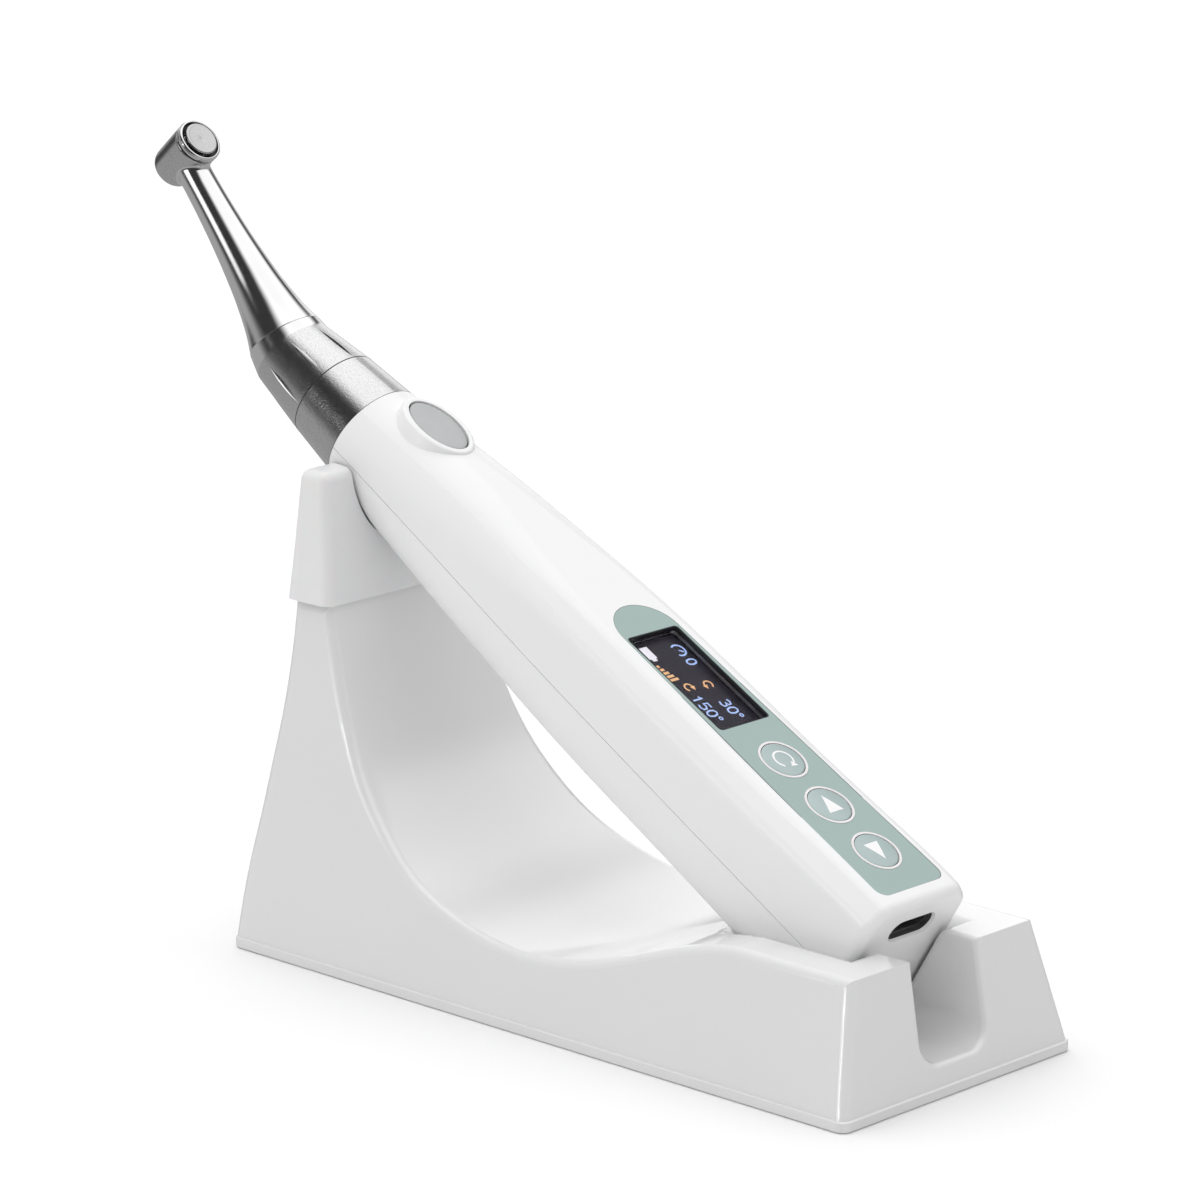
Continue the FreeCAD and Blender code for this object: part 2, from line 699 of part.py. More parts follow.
def grip_sleeve():
    rear_s = -COLLAR_LENGTH - 0.1
    rear = turn_x([(rear_s, 0), (rear_s, COLLAR_FRONT_R), (BEND_S, BEND_R), (BEND_S, 0)])
    knee = Part.makeSphere(BEND_R, V(BEND_S, 0, 0))
    ahead = neck_place(turn_x([(0, 0), (0, BEND_R), (SEAM_X, 6.55), (SEAM_X, 0)]))
    sleeve = rear.fuse([knee, ahead])
    sleeve = sleeve.cut(neck_place(box(-30, SEAM_X, -20, 20, -20, 20)))
    bore = cyl_x(NOSE_R + 0.1, -18.3, 0)
    seat = cyl_x(3.6, -19.7, -18.2)
    room = Part.makeSphere(4.2, V(BEND_S, 0, 0)).common(box(-40, -19.65, -9, 9, -9, 9))
    throat = neck_place(cyl_x(4.1, -6, -1))
    sleeve = sleeve.cut([bore, seat, room, throat])
    for i in range(6):
        hole = cyl_x(0.7, -12.0, -8, 0, -6.0)
        hole.rotate(V(0, 0, 0), V(1, 0, 0), 60 * i)
        sleeve = sleeve.cut(hole)
    return sleeve.cut(grip_grooves())


def grip_grooves():
    """Lens-shaped grooves around the grip, each cut by the sharp rim of a double cone."""
    out = []
    tilt = math.degrees(math.atan((COLLAR_FRONT_R - BEND_R) / (-COLLAR_LENGTH - BEND_S)))
    for i in range(GROOVES):
        cutter = turn_z([(0, -GROOVE_CUTTER_R), (GROOVE_CUTTER_R, 0), (0, GROOVE_CUTTER_R)])
        cutter.rotate(V(0, 0, 0), V(1, 0, 0), 90)
        cutter.rotate(V(0, 0, 0), V(0, 1, 0), -tilt)
        cutter.translate(V(GROOVE_S, 0, GROOVE_FLOOR_R + GROOVE_CUTTER_R))
        cutter.rotate(V(0, 0, 0), V(1, 0, 0), 360.0 * i / GROOVES)
        out.append(cutter)
    return out


NECK_RADII = [(SEAM_X, 6.5), (-5.5, 5.75), (-8.3, 5.1), (-12.8, 4.34), (-16.9, 3.86),
              (-21.1, 3.47), (-25.4, 3.18), (-29.6, 2.98), (-33.8, 2.86), (-37.5, 2.85)]


def neck_housing():
    curve = spline([V(x, 0, r) for x, r in NECK_RADII])
    x0, r0 = NECK_RADII[0]
    x1, r1 = NECK_RADII[-1]
    ends = [line(V(x1, 0, r1), V(x1, 0, 0)), line(V(x1, 0, 0), V(x0, 0, 0)),
            line(V(x0, 0, 0), V(x0, 0, r0))]
    neck = Part.Face(Part.Wire([curve] + ends)).revolve(V(0, 0, 0), V(1, 0, 0), 360)
    head = turn_z([(0, HEAD_BOTTOM), (2.7, HEAD_BOTTOM), (3.3, HEAD_BOTTOM + 0.35),
                   (3.65, HEAD_BOTTOM + 1.0), (3.75, HEAD_BOTTOM + 1.6), (HEAD_R, 3.7),
                   (HEAD_R - 0.15, 3.9), (0, 3.9)], -NECK_LENGTH)
    body = neck.fuse(head)
    bore = cyl_x(1.9, -38, SEAM_X)
    seat = cyl_x(2.6, -6.0, 0)
    chamber = cyl_z(CHAMBER_R, -4.2, 6, -NECK_LENGTH)
    mouth = cyl_z(2.0, -6, 0, -NECK_LENGTH)
    return body.cut([bore, seat, chamber, mouth]).removeSplitter()


def head_cap():
    return turn_z([(3.02, 2.8), (3.02, 3.93), (3.8, 3.93), (4.0, 4.1), (4.0, 4.7),
                   (3.8, HEAD_TOP), (3.45, HEAD_TOP), (3.45, 4.2), (2.7, 4.2),
                   (2.7, 3.8), (2.6, 3.8), (2.6, 2.8)], -NECK_LENGTH)


def push_button():
    return turn_z([(0, 4.1), (0.9, 4.1), (0.9, 4.85), (BUTTON_R, 4.85), (BUTTON_R, 5.3),
                   (2.85, 5.45), (0, 5.45)], -NECK_LENGTH)


def button_spring():
    return tube_z(2.3, 1.2, 3.62, 3.95, -NECK_LENGTH)


def head_bearings():
    bore = SPINDLE_R + 0.03
    low = tube_z(CHAMBER_R - 0.01, bore, -4.15, -2.95, -NECK_LENGTH)
    high = tube_z(2.58, bore, 2.2, 3.6, -NECK_LENGTH)
    return Part.makeCompound([low, high])


def bearing_spacer():
    return tube_z(CHAMBER_R - 0.01, 2.6, 1.6, 2.78, -NECK_LENGTH)


def drive_bearings():
    first = tube_x(3.58, 1.62, -19.65, -18.45)
    second = neck_place(tube_x(2.58, 0.92, -5.9, -3.1))
    third = neck_place(tube_x(1.88, 0.92, -34.6, -32.6))
    return Part.makeCompound([first, second, third])


def face_teeth(count, r0, r1, width, x0, x1, phase):
    """Straight radial teeth standing on a face across the X axis."""
    out = []
    for i in range(count):
        tooth = box(x0, x1, -width / 2, width / 2, r0, r1)
        tooth.rotate(V(0, 0, 0), V(1, 0, 0), phase + 360.0 * i / count)
        out.append(tooth)
    return out


def input_gear():
    disc = cyl_x(3.4, 1.0, 1.9)
    teeth = face_teeth(BEVEL_TEETH, 2.3, 3.35, 0.6, 0.2, 1.1, 0)
    hub = cyl_x(1.6, 1.9, 7.3)
    slot = box(5.2, 7.4, -2, 2, -0.5, 0.5)
    gear = fuse(disc, hub, *teeth).cut(slot)
    gear.translate(V(BEND_S, 0, 0))
    return gear


def neck_shaft():
    disc = cyl_x(3.4, -1.9, -1.0)
    half_pitch = 180.0 / BEVEL_TEETH
    teeth = face_teeth(BEVEL_TEETH, 2.3, 3.35, 0.6, -1.1, -0.2, half_pitch)
    shaft = cyl_x(0.9, -NECK_LENGTH + 1.95, -1.0)
    core = cyl_x(0.95, -NECK_LENGTH + 1.95, -NECK_LENGTH + 3.05)
    pinion = face_teeth(PINION_TEETH, 0.5, 1.4, 0.22, -NECK_LENGTH + 1.95,
                        -NECK_LENGTH + 3.0, 0)
    return fuse(disc, shaft, core, *(teeth + pinion))


def crown_gear():
    disc = tube_z(2.9, SPINDLE_R, -2.6, -1.62, -NECK_LENGTH)
    out = [disc]
    for i in range(CROWN_TEETH):
        tooth = box(2.1, 2.85, -0.11, 0.11, -1.7, -1.05)
        tooth.rotate(V(0, 0, 0), V(0, 0, 1), 360.0 * (i + 0.5) / CROWN_TEETH)
        tooth.translate(V(-NECK_LENGTH, 0, 0))
        out.append(tooth)
    return fuse(*out)


def chuck_spindle():
    body = cyl_z(SPINDLE_R, -4.7, 3.4, -NECK_LENGTH)
    hole = cyl_z(CHUCK_BORE_R, -6, 2.4, -NECK_LENGTH)
    return body.cut(hole)


# ---------------------------------------------------------------- write every node
def build():
    save("stand_shell", stand_shell())
    save("stand_base_plate", base_plate())
    save("stand_pad", base_pad())
    save("stand_screws", stand_screws())
    save("stand_ballast", ballast())
    save("cradle_cap", cradle_cap())

    save_hand("upper_shell", upper_shell())
    save_hand("lower_shell", lower_shell())
    save_hand("shell_screws", shell_screws())
    save_hand("control_overlay", control_overlay())
    save_hand("key_rings", key_rings())
    save_hand("display_window", display_window())
    save_hand("display_module", display_module())
    save_hand("display_frame", display_frame())
    save_hand("main_pcb", main_pcb())
    save_hand("tact_switches", tact_switches())
    save_hand("switch_flex", switch_flex())
    save_hand("usb_receptacle", usb_receptacle())
    save_hand("usb_tongue", usb_tongue())
    save_hand("battery_cell", battery_cell())
    save_hand("inner_chassis", inner_chassis())
    save_hand("buzzer", buzzer())
    save_hand("motor_can", motor_can())
    save_hand("motor_bearings", motor_bearings())
    save_hand("motor_stator", motor_stator())
    save_hand("motor_nose", motor_nose())
    save_hand("nose_orings", nose_orings())
    save_hand("front_collar", front_collar())
    save_hand("main_switch", main_switch())
    for name, s in zip(("key_set", "key_up", "key_down"), KEY_S):
        save_hand(name, key(s))
    save_hand("motor_shaft", motor_shaft())
    save_hand("rotor_magnet", rotor_magnet())

    save_hand("grip_sleeve", grip_sleeve())
    save_hand("drive_bearings", drive_bearings())
    save_hand("input_gear", input_gear())
    save_neck("neck_housing", neck_housing())
    save_neck("head_cap", head_cap())
    save_neck("head_bearings", head_bearings())
    save_neck("bearing_spacer", bearing_spacer())
    save_neck("button_spring", button_spring())
    save_neck("push_button", push_button())
    save_neck("neck_shaft", neck_shaft())
    save_neck("crown_gear", crown_gear())
    save_neck("chuck_spindle", chuck_spindle())


build()
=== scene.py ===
import bmesh
import bpy
import json
import math
from mathutils import Matrix, Vector


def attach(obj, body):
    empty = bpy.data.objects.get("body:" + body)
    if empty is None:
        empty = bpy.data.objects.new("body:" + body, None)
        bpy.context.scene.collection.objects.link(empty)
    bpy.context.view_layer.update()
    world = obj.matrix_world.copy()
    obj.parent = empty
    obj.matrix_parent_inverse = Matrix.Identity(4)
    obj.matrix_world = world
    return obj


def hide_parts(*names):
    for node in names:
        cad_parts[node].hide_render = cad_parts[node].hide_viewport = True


# Endodontic motor on its charging stand. All lengths are in metres, in the CAD model's row frame.
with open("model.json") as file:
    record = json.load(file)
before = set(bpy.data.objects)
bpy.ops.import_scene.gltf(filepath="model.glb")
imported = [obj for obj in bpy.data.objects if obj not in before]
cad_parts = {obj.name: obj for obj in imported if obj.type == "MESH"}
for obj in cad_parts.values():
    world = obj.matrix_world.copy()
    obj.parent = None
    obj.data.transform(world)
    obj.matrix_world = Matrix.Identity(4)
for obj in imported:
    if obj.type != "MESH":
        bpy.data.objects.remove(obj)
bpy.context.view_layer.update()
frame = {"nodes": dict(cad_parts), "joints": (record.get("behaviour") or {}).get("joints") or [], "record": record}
scene = bpy.context.scene
NODES = frame["nodes"]
JOINTS = {j["name"]: j for j in frame["joints"]}
MM = 0.001
SIDE = Vector((0.0, 1.0, 0.0))


# ---------------------------------------------------------------- frames of the object
class Axes:
    """A local frame: x along the piece, y across it, z up from it."""

    def __init__(self, origin, x, z):
        self.origin, self.x, self.z = Vector(origin), Vector(x).normalized(), Vector(z).normalized()

    def at(self, x, y, z):
        return self.origin + self.x * x + SIDE * y + self.z * z


HAND = Axes(JOINTS["motor_spin"]["pos_m"], JOINTS["motor_spin"]["axis"],
            Vector(JOINTS["motor_spin"]["axis"]).cross(SIDE))
NECK = Axes(JOINTS["neck_spin"]["pos_m"], JOINTS["neck_spin"]["axis"],
            JOINTS["chuck_spin"]["axis"])
HEAD = Axes(JOINTS["chuck_spin"]["pos_m"], NECK.x, NECK.z)
TOP_AT_ZERO = 10.84 * MM
TOP_NORMAL = -Vector(JOINTS["key_set_press"]["axis"])
TOP = Axes(HAND.at(0, 0, TOP_AT_ZERO), SIDE.cross(TOP_NORMAL), TOP_NORMAL)


# ---------------------------------------------------------------- camera, light and floor
CAMERA_LENS = 186.32
SENSOR_WIDTH = 36.0
CAMERA_AZIMUTH = 42.398
CAMERA_ELEVATION = 14.853
CAMERA_ROLL = 0.576
CAMERA_DISTANCE = 0.994948
CAMERA_TARGET = (-0.01014, 0.0, 0.064568)


def make_camera():
    """Long lens at the photograph's viewing angle."""
    cam = bpy.data.cameras.new("camera")
    cam.lens = CAMERA_LENS
    cam.sensor_width = SENSOR_WIDTH
    cam.clip_start = 0.05
    cam.clip_end = 20.0
    obj = bpy.data.objects.new("camera", cam)
    scene.collection.objects.link(obj)
    azimuth, elevation, roll = map(math.radians, (CAMERA_AZIMUTH, CAMERA_ELEVATION, CAMERA_ROLL))
    look = Vector((-math.sin(azimuth) * math.cos(elevation),
                   math.cos(azimuth) * math.cos(elevation), -math.sin(elevation)))
    right = Vector((math.cos(azimuth), math.sin(azimuth), 0.0))
    up = right.cross(look)
    tilted = right * math.cos(roll) + up * math.sin(roll)
    up = tilted.cross(look)
    obj.location = Vector(CAMERA_TARGET) - look * CAMERA_DISTANCE
    obj.rotation_euler = Matrix((tilted, up, -look)).transposed().to_euler()
    scene.camera = obj


def bearing(azimuth, elevation):
    """Unit vector towards a place in the studio: azimuth 0 is -Y and 90 is +X."""
    a, e = math.radians(azimuth), math.radians(elevation)
    return Vector((math.sin(a) * math.cos(e), -math.cos(a) * math.cos(e), math.sin(e)))


class Graph:
    """Short calls for building a node tree."""

    def __init__(self, tree):
        self.nodes = tree.nodes
        self.links = tree.links

    def add(self, kind, **settings):
        node = self.nodes.new(kind)
        for name, value in settings.items():
            setattr(node, name, value)
        return node

    def feed(self, source, target):
        if isinstance(source, bpy.types.NodeSocket):
            self.links.new(source, target)
        else:
            target.default_value = source

    def multiply(self, a, b):
        node = self.add("ShaderNodeMath", operation="MULTIPLY")
        self.feed(a, node.inputs[0])
        self.feed(b, node.inputs[1])
        return node.outputs[0]

    def remap(self, value, low, high, to_low=0.0, to_high=1.0, smooth=False):
        node = self.add("ShaderNodeMapRange")
        if smooth:
            node.interpolation_type = "SMOOTHSTEP"
        for i, item in enumerate((value, low, high, to_low, to_high)):
            self.feed(item, node.inputs[i])
        return node.outputs[0]

    def mix(self, factor, a, b):
        node = self.add("ShaderNodeMix", data_type="RGBA")
        self.feed(factor, node.inputs[0])
        self.feed(a, node.inputs[6])
        self.feed(b, node.inputs[7])
        return node.outputs[2]


def grey(value):
    return (value, value, value, 1.0)


# Soft boxes and dark cards seen in glossy surfaces: azimuth, elevation, half angle, softness
# (all in degrees) and brightness.
SOFT_BOXES = ((150, 74, 40, 12, 1.35), (105, 62, 26, 10, 1.2), (-14, 11, 13, 5, 1.3),
              (-138, 18, 18, 7, 1.15), (-9, 13, 4, 1.5, 6.0))
DARK_SIDES = ((12, 28, 60, 14, 0.04), (-88, 4, 15, 6, 0.06), (-172, 32, 15, 6, 0.06))
GLOSSY_LOW, GLOSSY_HIGH = 0.40, 0.36
ROOM_HORIZON, ROOM_ZENITH = 0.27, 1.6
ROOM_MINUS_X, ROOM_PLUS_X = 1.33, 0.66


def make_world():
    """White studio: plain white to the camera, a smooth room for diffuse light, cards for gloss."""
    world = bpy.data.worlds.new("studio")
    scene.world = world
    world.use_nodes = True
    g = Graph(world.node_tree)
    out = g.nodes["World Output"]
    back = g.nodes["Background"]
    place = g.add("ShaderNodeTexCoord").outputs["Generated"]
    split = g.add("ShaderNodeSeparateXYZ")
    g.links.new(place, split.inputs[0])
    height = split.outputs["Z"]
    ray = g.add("ShaderNodeLightPath")

    def cap(azimuth, elevation, half, soft):
        dot = g.add("ShaderNodeVectorMath", operation="DOT_PRODUCT")
        g.links.new(place, dot.inputs[0])
        dot.inputs[1].default_value = bearing(azimuth, elevation)
        outer = math.cos(math.radians(half + soft))
        inner = math.cos(math.radians(half - soft))
        return g.remap(dot.outputs["Value"], outer, inner, smooth=True)

    tone = g.remap(height, -0.12, -0.02, GLOSSY_LOW, GLOSSY_HIGH, smooth=True)
    for azimuth, elevation, half, soft, bright in DARK_SIDES + SOFT_BOXES:
        tone = g.mix(cap(azimuth, elevation, half, soft), tone, grey(bright))
    side = g.remap(split.outputs["X"], -1.0, 1.0, ROOM_MINUS_X, ROOM_PLUS_X)
    room = g.multiply(g.remap(height, 0.0, 1.0, ROOM_HORIZON, ROOM_ZENITH), side)
    room_or_cards = g.mix(ray.outputs["Is Glossy Ray"], room, tone)
    seen = g.mix(ray.outputs["Is Camera Ray"], room_or_cards, grey(1.0))
    g.links.new(seen, back.inputs["Color"])
    back.inputs["Strength"].default_value = 1.0
    g.links.new(back.outputs[0], out.inputs["Surface"])
    world.cycles.sampling_method = "NONE"


def area(name, place, aim, size, power):
    """Rectangular soft light that neither the camera nor a reflection sees."""
    data = bpy.data.lights.new(name, "AREA")
    data.energy = power
    data.shape = "RECTANGLE"
    data.size, data.size_y = size
    obj = bpy.data.objects.new(name, data)
    scene.collection.objects.link(obj)
    obj.location = place
    obj.rotation_euler = (Vector(aim) - Vector(place)).to_track_quat("-Z", "Y").to_euler()
    obj.visible_camera = False
    obj.visible_glossy = False


def make_floor():
    """Plain pale paper, left out of reflections."""
    half = 3.0
    mesh = bpy.data.meshes.new("floor")
    mesh.from_pydata([(-half, -half, 0), (half, -half, 0), (half, half, 0), (-half, half, 0)],
                     [], [(0, 1, 2, 3)])
    obj = bpy.data.objects.new("floor", mesh)
    scene.collection.objects.link(obj)
    material = bpy.data.materials.new("floor_paper")
    material.use_nodes = True
    shader = material.node_tree.nodes["Principled BSDF"]
    shader.inputs["Base Color"].default_value = grey(0.88)
    shader.inputs["Roughness"].default_value = 0.9
    shader.inputs["Specular IOR Level"].default_value = 0.0
    mesh.materials.append(material)
    obj.visible_glossy = False


# ---------------------------------------------------------------- materials
class Finish:
    """A material with a noise-driven roughness, colour variation and bump."""

    def __init__(self, name, colour, roughness, metallic=0.0):
        self.material = bpy.data.materials.new(name)
        self.material.use_nodes = True
        self.g = Graph(self.material.node_tree)
        self.shader = self.g.nodes["Principled BSDF"]
        self.place = self.g.add("ShaderNodeTexCoord").outputs["Object"]
        self.colour = (*colour, 1.0)
        self.shader.inputs["Base Color"].default_value = self.colour
        self.shader.inputs["Roughness"].default_value = roughness
        self.shader.inputs["Metallic"].default_value = metallic
        self.roughness = roughness

    def set(self, **values):
        for name, value in values.items():
            self.shader.inputs[name.replace("_", " ")].default_value = value
        return self

    def noise(self, size, detail=2.0):
        """Noise with features of about the given size in metres."""
        node = self.g.add("ShaderNodeTexNoise")
        node.inputs["Scale"].default_value = 1.0 / size
        node.inputs["Detail"].default_value = detail
        self.g.links.new(self.place, node.inputs["Vector"])
        return node.outputs["Fac"]

    def vary_roughness(self, size, spread, detail=3.0):
        value = self.g.remap(self.noise(size, detail), 0.3, 0.7, self.roughness - spread,
                             self.roughness + spread)
        self.g.links.new(value, self.shader.inputs["Roughness"])
        return self

    def vary_colour(self, size, shade, detail=3.0):
        """Blends towards the colour times shade."""
        other = tuple(c * shade for c in self.colour[:3]) + (1.0,)
        amount = self.g.remap(self.noise(size, detail), 0.35, 0.7)
        self.g.links.new(self.g.mix(amount, self.colour, other), self.shader.inputs["Base Color"])
        return self

    def grain(self, size, shade):
        """Fine speckle of darker points over the colour already there."""
        socket = self.shader.inputs["Base Color"]
        before = socket.links[0].from_socket
        amount = self.g.remap(self.noise(size, 1.0), 0.42, 0.75)
        dark = tuple(c * shade for c in self.colour[:3]) + (1.0,)
        self.g.links.new(self.g.mix(amount, before, dark), socket)
        return self

    def bump(self, size, depth):
        node = self.g.add("ShaderNodeBump")
        node.inputs["Distance"].default_value = depth
        node.inputs["Strength"].default_value = 1.0
        self.g.links.new(self.noise(size), node.inputs["Height"])
        self.g.links.new(node.outputs["Normal"], self.shader.inputs["Normal"])
        return self


def moulded(name, colour, roughness, grain=0.45 * MM, depth=0.0012 * MM):
    """Injection-moulded plastic with a faint spark-eroded grain and slight flow unevenness."""
    finish = Finish(name, colour, roughness)
    return finish.vary_roughness(5 * MM, 0.02, 1.0).vary_colour(30 * MM, 0.992, 1.0).bump(grain, depth)


def make_finishes():
    """Every material slot of the record by name, and the extra finishes of the visual pieces."""
    f = {}
    f["white_shell"] = moulded("white_shell", (0.87, 0.87, 0.873), 0.33).set(
        Coat_Weight=0.25, Coat_Roughness=0.18)
    f["stand_white"] = moulded("stand_white", (0.79, 0.79, 0.792), 0.34).set(
        Coat_Weight=1.0, Coat_Roughness=0.06, Coat_IOR=1.65)
    f["cap_silicone"] = moulded(
        "cap_silicone", (0.8, 0.802, 0.805), 0.36, 0.6 * MM, 0.002 * MM).set(
        Subsurface_Weight=0.15, Subsurface_Scale=2 * MM)
    f["pad_rubber"] = moulded("pad_rubber", (0.035, 0.035, 0.038), 0.75, 0.5 * MM, 0.03 * MM)
    f["ballast_iron"] = moulded("ballast_iron", (0.1, 0.1, 0.105), 0.7, 0.8 * MM, 0.05 * MM)
    f["panel_film"] = Finish("panel_film", (0.345, 0.455, 0.43), 0.34).vary_roughness(
        2 * MM, 0.04).vary_colour(30 * MM, 0.96).bump(0.3 * MM, 0.0012 * MM)
    f["ring_white"] = Finish("ring_white", (0.84, 0.80, 0.81), 0.35).vary_roughness(
        1 * MM, 0.05).bump(0.3 * MM, 0.002 * MM)
    f["key_grey"] = Finish("key_grey", (0.36, 0.455, 0.45), 0.2).vary_roughness(
        1.5 * MM, 0.03).vary_colour(5 * MM, 1.08).bump(0.35 * MM, 0.0015 * MM).set(
        Coat_Weight=0.5, Coat_Roughness=0.12)
    f["icon_white"] = Finish("icon_white", (0.92, 0.91, 0.92), 0.4).vary_roughness(
        0.8 * MM, 0.05).bump(0.2 * MM, 0.001 * MM)
    f["switch_grey"] = Finish("switch_grey", (0.47, 0.48, 0.485), 0.42).vary_roughness(
        3 * MM, 0.05).vary_colour(6 * MM, 0.95).bump(0.3 * MM, 0.003 * MM)
    f["window_clear"] = Finish("window_clear", (0.98, 0.98, 0.99), 0.04).set(
        Transmission_Weight=1.0, IOR=1.1).vary_roughness(6 * MM, 0.02)
    f["display_dark"] = Finish("display_dark", (0.03, 0.024, 0.043), 0.38).vary_roughness(
        2 * MM, 0.03).vary_colour(0.6 * MM, 0.9).set(Specular_IOR_Level=0.1)
    f["black_plastic"] = moulded("black_plastic", (0.012, 0.012, 0.014), 0.45, 0.3 * MM, 0.004 * MM)
    f["edge_grey"] = moulded("edge_grey", (0.11, 0.13, 0.125), 0.45, 0.3 * MM, 0.002 * MM)
    f["board_green"] = moulded("board_green", (0.03, 0.16, 0.08), 0.35, 0.5 * MM, 0.004 * MM)
    f["flex_amber"] = moulded("flex_amber", (0.55, 0.24, 0.04), 0.35, 0.5 * MM, 0.004 * MM)
    f["cell_sleeve"] = moulded("cell_sleeve", (0.06, 0.2, 0.45), 0.3, 1.5 * MM, 0.01 * MM)
    f["oring_black"] = moulded("oring_black", (0.02, 0.02, 0.02), 0.5, 0.3 * MM, 0.006 * MM)
    f["magnet_black"] = moulded("magnet_black", (0.05, 0.05, 0.055), 0.4, 0.3 * MM, 0.004 * MM)
    # tone, roughness, grain size and grain depth (both in millimetres)
    metals = {
        "screw_steel": (0.5, 0.36, 0.25, 0.004), "nickel": (0.66, 0.34, 0.3, 0.002),
        "satin_steel": (0.74, 0.2, 0.3, 0.03), "head_steel": (0.7, 0.22, 0.22, 0.006),
        "button_steel": (0.56, 0.24, 0.2, 0.006),
        "bearing_steel": (0.7, 0.16, 0.2, 0.001), "gear_steel": (0.5, 0.33, 0.3, 0.003),
        "polished_steel": (0.82, 0.13, 0.3, 0.0012),
    }
    for name, (tone, rough, grain, depth) in metals.items():
        f[name] = Finish(name, (tone, tone, tone * 1.005), rough, 1.0).vary_roughness(
            3 * MM, rough * 0.08).vary_colour(12 * MM, 0.97).bump(grain * MM, depth * MM)
    f["satin_steel"].grain(0.15 * MM, 0.7)
    f["head_steel"].grain(0.2 * MM, 0.8)
    f["button_steel"].grain(0.2 * MM, 0.82)
    f["copper_winding"] = Finish("copper_winding", (0.65, 0.27, 0.11), 0.3, 1.0).vary_roughness(
        1 * MM, 0.08).bump(0.4 * MM, 0.05 * MM)
    f["gold_contact"] = Finish("gold_contact", (0.8, 0.6, 0.25), 0.25, 1.0).vary_roughness(
        0.5 * MM, 0.05).bump(0.2 * MM, 0.002 * MM)
    return f


def lit(name, colour, strength):
    """Glowing pixels of the display, slightly uneven like a fine raster."""
    finish = Finish(name, (0.02, 0.02, 0.02), 0.3)
    pitch = 0.14 * MM
    raster = finish.g.remap(finish.noise(pitch, 0.0), 0.3, 0.7, 0.8, 1.1)
    dim = finish.g.mix(raster, grey(0.0), (*colour, 1.0))
    finish.g.links.new(dim, finish.shader.inputs["Emission Color"])
    finish.shader.inputs["Emission Strength"].default_value = strength
    return finish.vary_roughness(1 * MM, 0.05)


# ---------------------------------------------------------------- mesh helpers
def piece(name, mesh, body, finishes, replaced=()):
    """Links a new piece, gives it its materials and ties it to its body."""
    obj = bpy.data.objects.new(name, mesh)
    scene.collection.objects.link(obj)
    for finish in finishes:
        mesh.materials.append(finish.material)
    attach(obj, body)
    if replaced:
        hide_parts(*replaced)
    return obj


def finish_mesh(bm, name, crease=32.0):
    """Turns a bmesh into a mesh that is smooth except across sharp edges."""
    bmesh.ops.remove_doubles(bm, verts=bm.verts, dist=1e-7)
    bmesh.ops.recalc_face_normals(bm, faces=bm.faces)
    limit = math.radians(crease)
    for face in bm.faces:
        face.smooth = True
    for edge in bm.edges:
        edge.smooth = not (edge.is_manifold and edge.calc_face_angle(0.0) > limit)
    mesh = bpy.data.meshes.new(name)
    bm.to_mesh(mesh)
    bm.free()
    return mesh


def rings_to_mesh(rings, closed_profile, name, material_of=None, crease=32.0):
    """Joins rings of points, each closed, into a skin. A closed profile joins last ring to first."""
    bm = bmesh.new()
    grid = [[bm.verts.new(p) for p in ring] for ring in rings]
    count = len(grid[0])
    last = len(grid) if closed_profile else len(grid) - 1
    for i in range(last):
        a, b = grid[i], grid[(i + 1) % len(grid)]
        for k in range(count):
            m = (k + 1) % count
            corners = [a[k], a[m], b[m], b[k]]
            if len({c.co.to_tuple(9) for c in corners}) < 3:
                continue
            face = bm.faces.new(corners)
            if material_of:
                face.material_index = material_of(i, k)
    return finish_mesh(bm, name, crease)


def rounded_profile(points, radius, steps=4):
    """Softens each corner of a closed profile with a small arc-like curve."""
    out = []
    count = len(points)
    for i in range(count):
        a, b, c = (Vector(points[j % count]) for j in (i - 1, i, i + 1))
        near = min(radius, (a - b).length * 0.4, (c - b).length * 0.4)
        start, end = b + (a - b).normalized() * near, b + (c - b).normalized() * near
        for k in range(steps + 1):
            t = k / steps
            out.append(start * (1 - t) ** 2 + b * 2 * t * (1 - t) + end * t ** 2)
    return out


def lathe(axes, along_z, profile, name, parts=96, crease=32.0, material_of=None):
    """Skin of revolution. Profile points are (radius, height) about the frame's z, or about its x."""
    rings = []
    for radius, height in profile:
        ring = []
        for k in range(parts):
            a = 2 * math.pi * k / parts
            c, s = radius * math.cos(a), radius * math.sin(a)
            ring.append(axes.at(c, s, height) if along_z else axes.at(height, s, c))
        rings.append(ring)
    return rings_to_mesh(rings, True, name, material_of, crease)


def smooth_points(points, per_span=6):
    """Catmull-Rom curve through (x, r) points."""
    out = []
    last = len(points) - 1
    for i in range(last):
        p0, p1 = Vector(points[max(i - 1, 0)]), Vector(points[i])
        p2, p3 = Vector(points[i + 1]), Vector(points[min(i + 2, last)])
        for k in range(per_span):
            t = k / per_span
            out.append(0.5 * ((2 * p1) + (p2 - p0) * t + (2 * p0 - 5 * p1 + 4 * p2 - p3) * t * t
                              + (3 * p1 - p0 - 3 * p2 + p3) * t ** 3))
    out.append(Vector(points[last]))
    return out


# ---------------------------------------------------------------- contra-angle
COLLAR_SEAM = -10.3 * MM
BEND_S = -21.8 * MM
BEND_R = 7.0 * MM
REAR_R = 8.45 * MM
SEAM_X = -3.0 * MM
SEAM_R = 6.55 * MM
HEAD_X = -39.3 * MM
GROOVES = 8
GROOVE_S = -16.8 * MM
GROOVE_FLOOR_R = 6.98 * MM
GROOVE_CUTTER_R = 14.0 * MM
REAR_STEPS = (0.012, 0.1, 0.3, 0.5, 0.7, 0.85, 0.93)
KNEE_STEPS = 7


def between(a, b, t):
    return a + (b - a) * t


